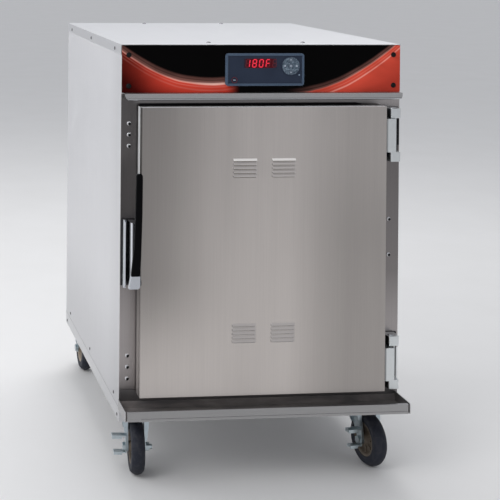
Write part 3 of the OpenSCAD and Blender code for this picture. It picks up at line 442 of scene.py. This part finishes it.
# chrome_strike and chrome_housing are copies of chrome with painted shade and reflections; the housing's copy also has
# a lighter base, painted light
cast_metal("chrome", (0.52, 0.54, 0.58), 0.20, 0.2, 0.25, spots=0.06)
cast_metal("chrome_strike", (0.52, 0.54, 0.58), 0.20, 0.2, 0.25, spots=0.06, shade=strike_shade)
cast_metal("chrome_housing", (0.66, 0.68, 0.72), 0.20, 0.2, 0.25, spots=0.06, shade=housing_shade)
cast_metal("zinc_plate", (0.52, 0.59, 0.62), 0.32, 0.9, 0.4, dull=(0.20, 0.25, 0.29), spots=0.5)
cast_metal("steel_pin", (0.60, 0.61, 0.63), 0.26, 0.5, 0.3)
cast_metal("screw_steel", (0.66, 0.66, 0.67), 0.28, 0.5, 0.4, shade=screw_shade)
cast_metal("black_screw", (0.0030, 0.0035, 0.0040), 0.5, 0.8, 0.12, dull=(0.010, 0.009, 0.009), metallic=0.6)
cast_metal("heater_sheath", (0.22, 0.20, 0.19), 0.42, 1.0, 0.2, dull=(0.14, 0.10, 0.09))
cast_metal("motor_enamel", (0.06, 0.06, 0.065), 0.4, 0.9, 0.4, dull=(0.03, 0.03, 0.03), metallic=0.3)
cast_metal("wheel_alu", (0.62, 0.63, 0.64), 0.34, 0.8, 0.3)
give(MATS["cast_zinc"], "hinge_frame_leaves", "hinge_door_leaves")
give(MATS["chrome"], "latch_lever")
give(MATS["chrome_strike"], "latch_strike")
give(MATS["chrome_housing"], "latch_body")
give(MATS["zinc_plate"], "caster_plates", "caster_bolts", "caster_fork_fl", "caster_fork_fr", "caster_fork_rl", "caster_fork_rr", "caster_brake_fl", "caster_brake_fr")
give(MATS["steel_pin"], "hinge_pins", "latch_pin", "motor_shaft", "temperature_probe")
give(MATS["screw_steel"], "casing_screws", "jamb_plug_screws")
give(MATS["black_screw"], "fascia_screws")
give(MATS["heater_sheath"], "heater_element")
give(MATS["motor_enamel"], "blower_motor")
give(MATS["wheel_alu"], "blower_wheel")

# ---------------------------------------------------------------- plastics and rubber
plastic("black_plastic", (0.0020, 0.0020, 0.0026), 0.6, 0.8, 0.2, worn=(0.012, 0.012, 0.014), spec=0.05)
plastic("cord_rubber", (0.012, 0.012, 0.014), 0.55, 1.0, 0.2, dust=0.15, spec=0.3)
plastic("gasket_rubber", (0.035, 0.035, 0.037), 0.6, 0.7, 0.2, dust=0.12, spec=0.3)
plastic("bush_nylon", (0.62, 0.52, 0.32), 0.45, 0.6, 0.2)
plastic("hub_poly", (0.105, 0.082, 0.060), 0.55, 1.0, 0.25, worn=(0.20, 0.165, 0.13), dust=0.12, spec=0.25)
plastic("tyre_rubber", (0.017, 0.019, 0.028), 0.66, 1.2, 0.25, worn=(0.05, 0.05, 0.055), dust=0.05, spec=0.22)
plastic("key_plastic", (0.10, 0.13, 0.17), 0.45, 0.6, 0.3, spec=0.25)
plastic("power_plastic", (0.014, 0.022, 0.040), 0.45, 0.6, 0.2, worn=(0.05, 0.06, 0.08), spec=0.18)
give(MATS["black_plastic"], "handle_grip")
give(MATS["cord_rubber"], "power_cord")
give(MATS["gasket_rubber"], "door_gasket")
give(MATS["bush_nylon"], "hinge_bushes")
# painted light: a lighter copy of hub_poly for the rear hubs, which the light falls on, while the front hubs stand in
# shade
plastic("hub_poly_rear_lit", (0.26, 0.215, 0.165), 0.55, 1.0, 0.25, worn=(0.36, 0.31, 0.26), dust=0.2, spec=0.25)
HUBS = {"fl": "hub_poly", "fr": "hub_poly", "rl": "hub_poly_rear_lit", "rr": "hub_poly_rear_lit"}
for key in HUBS:
    give(MATS[HUBS[key]], "caster_hub_" + key)
give(MATS["tyre_rubber"], "caster_tyre_fl", "caster_tyre_fr", "caster_tyre_rl", "caster_tyre_rr")
give(MATS["key_plastic"], "key_up", "key_down", "key_enter")
give(MATS["power_plastic"], "power_key")


def batt_mat():
    g = Mat("glass_batt")
    f1 = g.noise((900, 900, 160), 4, 0.7, 1.2)
    f2 = g.noise((200, 700, 900), 4, 0.7, 1.0, shift=(4, 4, 1))
    lay = g.noise((20, 20, 140), 4, 0.6, 0.6)
    f = g.add(g.mul(f1, 0.5), g.mul(f2, 0.5))
    c = g.mixc(f, (0.46, 0.36, 0.14), (0.84, 0.74, 0.46))
    c = g.mixc(g.rng(lay, 0.55, 0.75, 0, 0.4), c, (0.5, 0.4, 0.2))
    g.set(Base_Color=c, Roughness=0.95, Sheen_Weight=0.4, Normal=g.bump(f, 0.9, 0.003))
    MATS["glass_batt"] = g.m


batt_mat()
give(MATS["glass_batt"], "insulation_batts", "door_insulation")


def board_mat():
    g = Mat("circuit_board")
    x, y, z = g.xyz()
    grid = g.voronoi((420, 420, 420), "DISTANCE_TO_EDGE")
    trace = g.rng(grid, 0.06, 0.10)
    n = g.noise(300.0, 3)
    c = g.mixc(trace, (0.04, 0.30, 0.13), (0.01, 0.14, 0.06))
    back = g.rng(y, FY + 0.0047, FY + 0.0049)
    parts = g.mixc(g.rng(n, 0.4, 0.6), (0.03, 0.03, 0.035), (0.10, 0.10, 0.11))
    c = g.mixc(back, c, parts)
    g.set(Base_Color=c, Roughness=g.rng(n, 0.3, 0.7, 0.3, 0.5), Normal=g.bump(trace, 0.25, 0.0001))
    MATS["circuit_board"] = g.m


board_mat()
give(MATS["circuit_board"], "control_board")


def bezel_mat():
    g = Mat("bezel_plastic")
    x, y, z = g.xyz()
    cx, cz, w, h = 0.0045, 0.9798, 0.195, 0.0784
    dx = g.sub(g.mt("ABSOLUTE", g.sub(x, cx)), w / 2 - 0.0056)
    dz = g.sub(g.mt("ABSOLUTE", g.sub(z, cz)), h / 2 - 0.0056)
    rim = g.rng(g.mt("MAXIMUM", dx, dz), -0.0002, 0.0003)
    # tub behind the panel is plain black
    tub = g.rng(y, FY - 0.0034, FY - 0.0026)
    fine = g.noise(2400.0, 2, 0.6)
    wide = g.noise(30.0, 3, 0.5)
    # painted highlight: the rim band is a lighter blue than the face
    face = g.mixc(wide, (0.017, 0.025, 0.046), (0.026, 0.037, 0.064))
    edge = g.mixc(wide, (0.050, 0.078, 0.125), (0.076, 0.112, 0.170))
    c = g.mixc(rim, face, edge)
    # keypad disc: lighter and mottled
    kx_, kz_ = g.sub(x, 0.0685), g.sub(z, 0.9885)
    rad = g.mt("SQRT", g.add(g.mul(kx_, kx_), g.mul(kz_, kz_)))
    spots = g.noise(330.0, 4, 0.7, 0.5, shift=(1, 5, 2))
    disc = g.mixc(g.rng(spots, 0.40, 0.62), (0.030, 0.048, 0.072), (0.21, 0.27, 0.33))
    ragged = g.add(rad, g.mul(g.sub(g.noise(150.0, 2), 0.5), 0.0022))
    c = g.mixc(g.mul(g.rng(ragged, 0.0208, 0.0222, 1.0, 0.0), 0.9), c, disc)
    # painted highlight on the rim's edges
    c = g.mixc(g.mul(g.edge(0.0008), g.mul(rim, 0.8)), c, (0.26, 0.34, 0.44))
    c = g.mixc(tub, c, (0.02, 0.02, 0.022))
    r = g.add(0.42, g.mul(g.sub(fine, 0.5), 0.12))
    g.set(Base_Color=c, Roughness=r, Specular_IOR_Level=0.18, Normal=g.bump(fine, 0.10, 0.0001))
    MATS["bezel_plastic"] = g.m


bezel_mat()
give(MATS["bezel_plastic"], "controller_bezel")


def window_mat():
    g = Mat("display_tint")
    x, y, z = g.xyz()
    n = g.noise(40.0, 2)
    # a fine honeycomb of the filter sheet
    cell = g.voronoi((1300, 10, 1300), "DISTANCE_TO_EDGE")
    c = g.mixc(g.rng(cell, 0.0, 0.12), (0.10, 0.006, 0.012), (0.030, 0.003, 0.006))
    across = g.mt("ABSOLUTE", g.sub(x, -0.0082))
    glow = g.rng(across, 0.0, 0.05, 1.0, 0.25, True)
    fade = g.rng(g.add(across, g.mul(g.sub(g.noise(260.0, 2), 0.5), 0.004)), 0.030, 0.039, 0.0, 0.85, True)
    c = g.mixc(fade, c, (0.022, 0.024, 0.040))
    glow = g.mul(glow, g.sub(1.0, fade))
    # painted light: a faint red glow of the lit digits across the middle of the window
    g.set(Base_Color=c, Roughness=g.rng(n, 0.3, 0.7, 0.14, 0.22), Specular_IOR_Level=0.12,
          Emission_Color=(0.5, 0.02, 0.04), Emission_Strength=g.mul(glow, 0.07))
    MATS["display_tint"] = g.m


window_mat()
give(MATS["display_tint"], "display_window")


def fascia_mat():
    """Gloss overlay: black with two plain sweeps of red light, one low on the left and one rising on the right."""
    g = Mat("fascia_print")
    x, y, z = g.xyz()
    u = g.mul(x, 1000.0)
    v = g.mul(g.sub(z, 0.9803), 1000.0)

    def parabola(x0, v0, k, side=0):
        d = g.sub(u, x0)
        if side:
            d = g.mt("MAXIMUM", g.mul(d, side), 0.0)
        return g.sub(v, g.add(v0, g.mul(g.mul(d, d), k)))

    def glow(d, inner, outer):
        """1 on the line, falling off on the lower side over inner mm and on the upper side over outer mm"""
        below = g.rng(d, -inner, 0.0, 0.0, 1.0)
        above = g.rng(d, 0.0, outer, 1.0, 0.0)
        return g.mul(g.mt("POWER", below, 1.7), above)

    wob = g.mul(g.sub(g.noise((9, 9, 9), 2, 0.5, shift=(2, 2, 2)), 0.5), 6.0)
    # left sweep
    dl = g.add(parabola(-128.0, -37.0, 0.00172), wob)
    left_zone = g.rng(u, -95.0, -55.0, 1.0, 0.0, True)
    body_l = g.mul(g.rng(dl, -1.5, 0.6, 1.0, 0.0), left_zone)
    # right sweep
    dr = g.add(parabola(52.0, -60.0, 0.00150, 1), wob)
    right_zone = g.rng(u, 55.0, 110.0, 0.0, 1.0, True)
    body_r = g.mul(g.rng(dr, -1.5, 0.6, 1.0, 0.0), right_zone)
    deep_l = g.rng(dl, -70.0, 0.0, 0.0, 1.0)
    deep_r = g.rng(dr, -90.0, 0.0, 0.25, 1.0)
    # slow changes of brightness along the sweep
    flow = g.noise((7, 1, 15), 2, 0.5, 0.6, shift=(4, 0, 8))
    dark_corner = g.rng(u, -346.0, -235.0, 0.22, 1.0, True)
    red = g.mixc(deep_l, (0.16, 0.008, 0.006), (0.66, 0.060, 0.035))
    red = g.tint(red, g.mul(g.add(0.55, g.mul(flow, 0.9)), dark_corner))
    redr = g.mixc(deep_r, (0.38, 0.035, 0.022), (0.72, 0.085, 0.05))
    redr = g.tint(redr, g.add(0.5, g.mul(flow, 0.9)))
    black = (0.0012, 0.0010, 0.0011)
    c = g.mixc(body_l, black, red)
    c = g.mixc(body_r, c, redr)
    # bright edge lines and two fainter echoes
    for d, zone, off, wid, amp in ((dl, left_zone, 0.0, 1.5, 0.85), (dl, left_zone, 5.5, 2.0, 0.22), (dl, left_zone, 12.0, 3.0, 0.12),
                                   (dl, left_zone, -7.0, 1.2, 0.20), (dl, left_zone, -15.0, 1.6, 0.14), (dl, left_zone, 2.6, 0.6, 0.35),
                                   (dr, right_zone, 0.0, 1.5, 0.5), (dr, right_zone, -17.0, 1.6, 0.80), (dr, right_zone, 8.0, 3.0, 0.14),
                                   (dr, right_zone, -9.0, 0.8, 0.22), (dr, right_zone, 3.0, 0.6, 0.30)):
        a = g.mt("ABSOLUTE", g.sub(d, off))
        line = g.mul(g.rng(a, 0.0, wid * 2.2, 1.0, 0.0, True), zone)
        line = g.mul(line, g.rng(flow, 0.35, 0.62, 0.35, 1.0))
        c = g.mixc(g.mul(line, amp), c, (1.0, 0.42, 0.34))
    # the left sweep is hottest at its lowest point
    hot = g.mul(g.rng(g.mt("ABSOLUTE", g.add(u, 118.0)), 0.0, 75.0, 1.0, 0.0, True), g.rng(g.mt("ABSOLUTE", dl), 0.0, 5.0, 1.0, 0.0, True))
    c = g.mixc(g.mul(hot, g.mul(left_zone, 0.75)), c, (1.0, 0.62, 0.52))
    dust = g.noise(900.0, 2)
    g.set(Base_Color=c, Roughness=g.rng(g.noise(14.0, 4, 0.6), 0.35, 0.7, 0.10, 0.2), Specular_IOR_Level=0.04,
          Normal=g.bump(dust, 0.02, 0.0001))
    MATS["fascia_print"] = g.m


fascia_mat()
give(MATS["fascia_print"], "fascia_overlay")


# ---------------------------------------------------------------- mesh helpers
MM = 0.001


def P(x, yf, z):
    """a point given in mm: X, distance behind the face frame's front plane, height"""
    return (x * MM, yf * MM + FY, z * MM)


def piece(name, verts, faces, mat, body, smooth=True, sharp=None):
    me = bpy.data.meshes.new(name)
    me.from_pydata([tuple(v) for v in verts], [], faces)
    me.validate()
    bm = bmesh.new()
    bm.from_mesh(me)
    bmesh.ops.remove_doubles(bm, verts=bm.verts, dist=1e-6)
    bmesh.ops.recalc_face_normals(bm, faces=bm.faces)
    bm.to_mesh(me)
    bm.free()
    for p in me.polygons:
        p.use_smooth = smooth
    if sharp is not None:
        me.set_sharp_from_angle(angle=math.radians(sharp))
    o = bpy.data.objects.new(name, me)
    bpy.context.scene.collection.objects.link(o)
    me.materials.append(mat)
    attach(o, body)
    return o


def bevel(o, width, segments=2, angle=30):
    b = o.modifiers.new("bevel", "BEVEL")
    b.limit_method = "ANGLE"
    b.angle_limit = math.radians(angle)
    b.width = width * MM
    b.segments = segments
    n = o.modifiers.new("normals", "WEIGHTED_NORMAL")
    n.keep_sharp = False
    n.weight = 80
    return o


class Build:
    """collects verts and faces of one piece, in mm"""

    def __init__(s):
        s.v, s.f = [], []

    def ring_strip(s, rings, caps=True, loop=False):
        base = len(s.v)
        n = len(rings[0])
        for r in rings:
            s.v += [P(*p) for p in r]
        m = len(rings)
        for i in range(m if loop else m - 1):
            a, b = base + i * n, base + ((i + 1) % m) * n
            for j in range(n):
                k = (j + 1) % n
                s.f.append((a + j, a + k, b + k, b + j))
        if caps and not loop:
            s.f.append(tuple(base + j for j in range(n))[::-1])
            s.f.append(tuple(base + (m - 1) * n + j for j in range(n)))
        return s

    def prism(s, outline, y0, y1):
        """outline [(x, z)] between two depths"""
        return s.ring_strip([[(x, y0, z) for x, z in outline], [(x, y1, z) for x, z in outline]])

    def lathe(s, profile, centre, axis="x", seg=96, closed=True):
        """profile [(r, t)] turned round an axis through centre; closed profiles make a ring"""
        rings = []
        for i in range(seg):
            a = 2 * math.pi * i / seg
            c, q = math.cos(a), math.sin(a)
            ring = []
            for r, t in profile:
                if axis == "x":
                    ring.append((centre[0] + t, centre[1] + r * c, centre[2] + r * q))
                elif axis == "y":
                    ring.append((centre[0] + r * c, centre[1] + t, centre[2] + r * q))
                else:
                    ring.append((centre[0] + r * c, centre[1] + r * q, centre[2] + t))
            rings.append(ring)
        base, n = len(s.v), len(profile)
        for r in rings:
            s.v += [P(*p) for p in r]
        for i in range(seg):
            a, b = base + i * n, base + ((i + 1) % seg) * n
            for j in range(n if closed else n - 1):
                k = (j + 1) % n
                s.f.append((a + j, a + k, b + k, b + j))
        return s

    def tube(s, pts, r, seg=16):
        """a round rod along a path"""
        pts = [Vector(p) for p in pts]
        rings = []
        side = None
        for i, p in enumerate(pts):
            d = (pts[min(i + 1, len(pts) - 1)] - pts[max(i - 1, 0)]).normalized()
            if side is None:
                side = d.orthogonal().normalized()
            side = (side - d * side.dot(d)).normalized()
            other = d.cross(side)
            rr = r[i] if isinstance(r, (list, tuple)) else r
            rings.append([tuple(p + side * (rr * math.cos(2 * math.pi * j / seg)) + other * (rr * math.sin(2 * math.pi * j / seg))) for j in range(seg)])
        return s.ring_strip(rings)

    def make(s, name, mat, body, slot=None, smooth=True, sharp=35):
        return piece(name, s.v, s.f, mat, body, smooth, sharp)


def superellipse(w, h, n=28, e=4.0):
    out = []
    for i in range(n):
        a = 2 * math.pi * i / n
        c, q = math.cos(a), math.sin(a)
        out.append((math.copysign(abs(c) ** (2 / e), c) * w / 2, math.copysign(abs(q) ** (2 / e), q) * h / 2))
    return out


# ---------------------------------------------------------------- controller details
def flat_mat(name, colour, glow=0.0, rough=0.35, mottle=0.12, scale=600.0):
    g = Mat(name)
    n = g.noise(scale, 3, 0.6)
    c = g.tint(colour, g.add(1.0 - mottle / 2, g.mul(n, mottle)))
    g.set(Base_Color=c, Roughness=g.add(rough, g.mul(g.sub(n, 0.5), 0.1)), Specular_IOR_Level=0.3, Normal=g.bump(n, 0.06, 0.0001))
    if glow:
        g.set(Emission_Color=colour, Emission_Strength=glow)
    MATS[name] = g.m
    return g.m


flat_mat("digit_on", (0.62, 0.018, 0.040), glow=0.85)
flat_mat("digit_off", (0.10, 0.006, 0.012))
flat_mat("mark_white", (0.52, 0.57, 0.66), mottle=0.2)
flat_mat("mark_red", (0.22, 0.014, 0.018), mottle=0.2)
flat_mat("lamp_dim", (0.25, 0.33, 0.42), mottle=0.3)

SEG = {"1": "bc", "8": "abcdefg", "0": "abcdef", "F": "aefg", " ": ""}
DW, DH, DT = 11.0, 20.0, 2.3


def digit_bars(cx, cz):
    """outlines of the seven bars of one digit, slanted"""
    w, h, t = DW / 2, DH / 2, DT / 2
    gap = 0.28

    def horiz(z):
        a, b = -w + t + gap, w - t - gap
        return [(a, z), (a + t, z + t), (b - t, z + t), (b, z), (b - t, z - t), (a + t, z - t)]

    def vert(x, z0, z1):
        a, b = z0 + gap, z1 - gap
        return [(x, a), (x + t, a + t), (x + t, b - t), (x, b), (x - t, b - t), (x - t, a + t)]

    bars = {"a": horiz(h - t), "g": horiz(0), "d": horiz(-h + t), "b": vert(w - t, 0, h - t), "c": vert(w - t, -h + t, 0),
            "f": vert(-w + t, 0, h - t), "e": vert(-w + t, -h + t, 0)}
    return {k: [(cx + x + z * 0.12, cz + z) for x, z in v] for k, v in bars.items()}


FACE = -2.6
lit, dim = Build(), Build()
for i, ch in enumerate("180F "):
    bars = digit_bars(-38.0 + i * 16.6, 995.0)
    for k, outline in bars.items():
        if ch != " " and k in SEG[ch]:
            lit.prism(outline, FACE - 5.02, FACE - 4.86)
        else:
            dim.prism(outline, FACE - 4.97, FACE - 4.86)
lit.make("display_digits", MATS["digit_on"], "cabinet", "display", smooth=False, sharp=None)
dim.make("display_unlit_bars", MATS["digit_off"], "cabinet", "display", smooth=False, sharp=None)

# raised ring round the keypad
kx, kz = 68.5, 988.5
ring = Build().lathe([(21.6, FACE - 5.8), (21.9, FACE - 6.35), (22.5, FACE - 6.6), (23.1, FACE - 6.35), (23.4, FACE - 5.8)], (kx, 0, kz), "y", 96)
ring.make("keypad_ring", MATS["bezel_plastic"], "cabinet", "bezel")


def arrow(b, x, z, s, up, y0, y1):
    k = 1 if up else -1
    b.prism([(x - s, z - k * s * 0.55), (x, z + k * s * 0.75), (x + s, z - k * s * 0.55), (x + s * 0.45, z - k * s * 0.55), (x, z + k * s * 0.1), (x - s * 0.45, z - k * s * 0.55)], y0, y1)


HEAD = FACE - 6.9
b = Build()
arrow(b, kx, 1003.7, 2.6, True, HEAD - 0.06, HEAD + 0.05)
b.make("mark_up", MATS["mark_white"], "up_key", "keys", smooth=False, sharp=None)
b = Build()
arrow(b, kx, 973.3, 2.6, False, HEAD - 0.06, HEAD + 0.05)
b.make("mark_down", MATS["mark_white"], "down_key", "keys", smooth=False, sharp=None)
b = Build().lathe([(1.5, HEAD - 0.06), (2.3, HEAD - 0.06), (2.3, HEAD + 0.05), (1.5, HEAD + 0.05)], (kx, 0, kz), "y", 48)
b.make("mark_enter", MATS["mark_white"], "enter_key", "keys", smooth=False, sharp=None)
# small blank pads either side of the centre key
b = Build()
for sx in (-1, 1):
    b.ring_strip([[(kx + sx * 14.6 + x * k, FACE - 5.8 - d, kz + z * k) for x, z in superellipse(4.2, 3.2, 24, 3)] for d, k in ((0, 1), (0.35, 1), (0.5, 0.9))])
b.make("keypad_side_pads", MATS["mark_white"], "cabinet", "keys")
# power key: red ring and a white bar
px, pz = -71.5, 954.8
HP = FACE - 6.1
b = Build().lathe([(6.25, HP - 0.06), (6.95, HP - 0.06), (6.95, HP + 0.05), (6.25, HP + 0.05)], (px, 0, pz), "y", 64)
b.make("power_ring", MATS["mark_red"], "power_button", "bezel", smooth=False, sharp=None)
b = Build().prism([(px - 3, pz - 0.7), (px + 3, pz - 0.7), (px + 3, pz + 0.7), (px - 3, pz + 0.7)], HP - 0.06, HP + 0.05)
b.make("power_bar", MATS["mark_white"], "power_button", "bezel", smooth=False, sharp=None)
# status lamp
b = Build().lathe([(0.01, FACE - 5.9), (1.0, FACE - 5.8), (1.7, FACE - 5.4), (1.9, FACE - 4.9), (1.9, FACE - 4.7), (0.01, FACE - 4.7)], (89.8, 0, 966.7), "y", 32)
b.make("status_lamp", MATS["lamp_dim"], "cabinet", "bezel")

# ---------------------------------------------------------------- top screws
b = Build()
for sx in (-119, 119):
    for yf in (50, 735):
        b.lathe([(0.02, 3.0), (1.9, 2.9), (3.6, 2.3), (4.9, 1.3), (5.35, 0.35), (5.35, -0.1), (4.0, -0.12), (0.02, -0.12)], (sx, yf, 1040), "z", 32)
        b.prism([(sx - 0.5, 1042.85), (sx + 0.5, 1042.85), (sx + 0.5, 1043.1), (sx - 0.5, 1043.1)], yf - 3.2, yf + 3.2)
b.make("top_screw_heads", MATS["screw_steel"], "cabinet", "steel_pin")

# ---------------------------------------------------------------- tyres and hubs


def tyre_profile():
    pts = [(40.0, -14.7), (41.2, -15.9), (45.0, -16.0), (45.6, -15.65), (46.4, -15.65), (47.0, -16.0), (54.6, -16.0)]
    for k in range(-50, 51, 5):
        a = math.radians(k)
        r, t = 43.5 + 20 * math.cos(a), 20 * math.sin(a)
        if abs(k) == 35:
            r -= 0.55
        pts.append((r, t))
    pts += [(54.6, 16.0), (47.0, 16.0), (46.4, 15.65), (45.6, 15.65), (45.0, 16.0), (41.2, 15.9), (40.0, 14.7)]
    return pts


def hub_profile():
    side = [(6.1, 18.5), (10.6, 18.5), (12.0, 17.6), (12.9, 15.0), (14.2, 9.6), (16.5, 6.3), (19.0, 5.2), (27.5, 4.6), (30.0, 5.6),
            (32.0, 8.4), (33.2, 11.6), (34.6, 13.6), (36.8, 14.5), (39.9, 14.6)]
    return side + [(r, -t) for r, t in reversed(side)]


def turn(o, centre, angle):
    """turn an object's mesh about the vertical through its wheel centre"""
    p = Vector((centre[0] * MM, FY + centre[1] * MM, 0))
    o.data.transform(Matrix.Translation(p) @ Matrix.Rotation(angle, 4, "Z") @ Matrix.Translation(-p))
    return o


AXES = {j["name"]: j["axis"] for j in frame["joints"] if j["name"].startswith("wheel_")}
for key in ("fl", "fr", "rl", "rr"):
    ax = AXES["wheel_%s_roll" % key]
    swing = math.atan2(ax[1], ax[0])
    lo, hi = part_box("caster_tyre_" + key)
    mid = (lo + hi) / 2
    c = (mid.x / MM, (mid.y - FY) / MM, mid.z / MM)
    t = Build().lathe(tyre_profile(), c, "x", 128).make("tyre_" + key, MATS["tyre_rubber"], "wheel_" + key, "tyre", sharp=50)
    turn(t, c, swing)
    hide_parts("caster_tyre_" + key)
    h = Build().lathe(hub_profile(), c, "x", 96)
    for i in range(8):
        a0 = 2 * math.pi * i / 8
        for sx in (-1, 1):
            rings = []
            for r, half, top in ((13.0, 1.5, 9.8), (17.0, 1.35, 8.3), (24.0, 1.3, 7.6), (30.0, 1.35, 8.6), (33.6, 1.5, 10.6)):
                ring = []
                for q, tt in ((-half, 3.0), (half, 3.0), (half * 0.8, top), (-half * 0.8, top)):
                    ring.append((c[0] + sx * tt, c[1] + r * math.cos(a0) - q * math.sin(a0), c[2] + r * math.sin(a0) + q * math.cos(a0)))
                rings.append(ring)
            h.ring_strip(rings)
    h = h.make("hub_" + key, MATS[HUBS[key]], "wheel_" + key, "hub", sharp=40)
    turn(h, c, swing)
    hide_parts("caster_hub_" + key)


# ---------------------------------------------------------------- edges of the CAD nodes
def soften(name, width, segments=2, angle=32):
    o = NODES[name]
    w = o.modifiers.new("weld", "WELD")
    w.merge_threshold = 2e-6
    b = o.modifiers.new("bevel", "BEVEL")
    b.limit_method = "ANGLE"
    b.angle_limit = math.radians(angle)
    b.width = width
    b.segments = segments
    b.use_clamp_overlap = True
    b.loop_slide = False
    n = o.modifiers.new("normals", "WEIGHTED_NORMAL")
    n.weight = 80
    n.keep_sharp = False


for n, w in (("handle_grip", 0.0016), ("latch_lever", 0.0009), ("latch_body", 0.0009), ("latch_strike", 0.0007), ("hinge_frame_leaves", 0.0008),
             ("hinge_door_leaves", 0.0008), ("door_skin", 0.0007), ("top_cover", 0.0004), ("drip_trough", 0.0004), ("drip_gutter", 0.0004),
             ("left_side_panel", 0.0005), ("right_side_panel", 0.0005), ("power_key", 0.0003), ("key_up", 0.0003), ("key_down", 0.0003),
             ("key_enter", 0.0003), ("caster_fork_fl", 0.0006), ("caster_fork_fr", 0.0006), ("caster_fork_rl", 0.0006),
             ("caster_fork_rr", 0.0006), ("caster_brake_fl", 0.0006), ("caster_brake_fr", 0.0006), ("blower_motor", 0.0005)):
    soften(n, w)


# ---------------------------------------------------------------- camera, light, floor
cam_data = bpy.data.cameras.new("camera")
cam = bpy.data.objects.new("camera", cam_data)
bpy.context.scene.collection.objects.link(cam)
yaw, roll = math.radians(5.54), math.radians(0.463)
right = Vector((math.cos(yaw), -math.sin(yaw), 0))
fwd = Vector((math.sin(yaw), math.cos(yaw), 0))
up = Vector((0, 0, 1))
r2 = right * math.cos(roll) + up * math.sin(roll)
u2 = -right * math.sin(roll) + up * math.cos(roll)
CX = -0.953
m = Matrix((r2, u2, -fwd)).transposed().to_4x4()
m.translation = Vector((CX, -3.166, 1.2806))
cam.matrix_world = m
cam_data.sensor_width = 36
cam_data.lens = 85.96
bpy.context.scene.camera = cam
# the lens shift belongs to this one place of the camera, so it follows the camera's X
for path, value in (("shift_x", 0.5328), ("shift_y", -0.6144)):
    drv = cam_data.driver_add(path).driver
    drv.type = "SCRIPTED"
    var = drv.variables.new()
    var.name = "x"
    var.type = "TRANSFORMS"
    var.targets[0].id = cam
    var.targets[0].transform_type = "LOC_X"
    var.targets[0].transform_space = "WORLD_SPACE"
    drv.expression = "%.4f if abs(x + 0.953) < 0.002 else 0.0" % value

scene = bpy.context.scene
scene.view_settings.view_transform = "Standard"
scene.view_settings.look = "None"
world = bpy.data.worlds.new("studio")
scene.world = world
world.use_nodes = True
wt = world.node_tree
wt.nodes.clear()
wo = wt.nodes.new("ShaderNodeOutputWorld")
bg = wt.nodes.new("ShaderNodeBackground")
tc = wt.nodes.new("ShaderNodeTexCoord")
sp = wt.nodes.new("ShaderNodeSeparateXYZ")
mr = wt.nodes.new("ShaderNodeMapRange")
mr.inputs["From Min"].default_value = 1.0
mr.inputs["From Max"].default_value = -1.0
mr.inputs["To Min"].default_value = 0.48
mr.inputs["To Max"].default_value = 0.80
wt.links.new(tc.outputs["Generated"], sp.inputs[0])
wt.links.new(sp.outputs[0], mr.inputs["Value"])
wt.links.new(mr.outputs[0], bg.inputs["Strength"])
bg.inputs["Color"].default_value = (0.93, 0.95, 1.0, 1)
wt.links.new(bg.outputs[0], wo.inputs[0])


def softbox(name, loc, target, size, power, colour=(1, 1, 1)):
    d = bpy.data.lights.new(name, "AREA")
    d.shape = "RECTANGLE"
    d.size, d.size_y = size
    d.energy = power
    d.color = colour
    o = bpy.data.objects.new(name, d)
    scene.collection.objects.link(o)
    o.location = loc
    o.rotation_mode = "QUATERNION"
    o.rotation_quaternion = (Vector(target) - Vector(loc)).to_track_quat("-Z", "Y")
    return o


softbox("key", (-3.2, -2.4, 3.4), (0, 0, 0.5), (2.4, 2.4), 70)
softbox("top", (0.4, 1.6, 3.8), (0, 0, 0.9), (2.6, 1.8), 58)
softbox("side", (-3.8, 1.6, 1.0), (0, 0.2, 0.6), (2.0, 1.8), 36)


def floor_mat():
    g = Mat("studio_floor")
    n = g.noise(3.0, 4, 0.6)
    n2 = g.noise(180.0, 3, 0.6)
    c = g.mixc(n, (0.74, 0.735, 0.725), (0.79, 0.785, 0.78))
    g.set(Base_Color=c, Roughness=g.rng(n2, 0.3, 0.7, 0.55, 0.7), Specular_IOR_Level=0.25, Normal=g.bump(n2, 0.05, 0.0005))
    return g.m


R, SEG = 45.0, 96
fl_me = bpy.data.meshes.new("studio_floor")
fl_me.from_pydata([(R * math.cos(2 * math.pi * i / SEG), R * math.sin(2 * math.pi * i / SEG), 0) for i in range(SEG)], [], [list(range(SEG))])
floor = bpy.data.objects.new("studio_floor", fl_me)
scene.collection.objects.link(floor)
fl_me.materials.append(floor_mat())
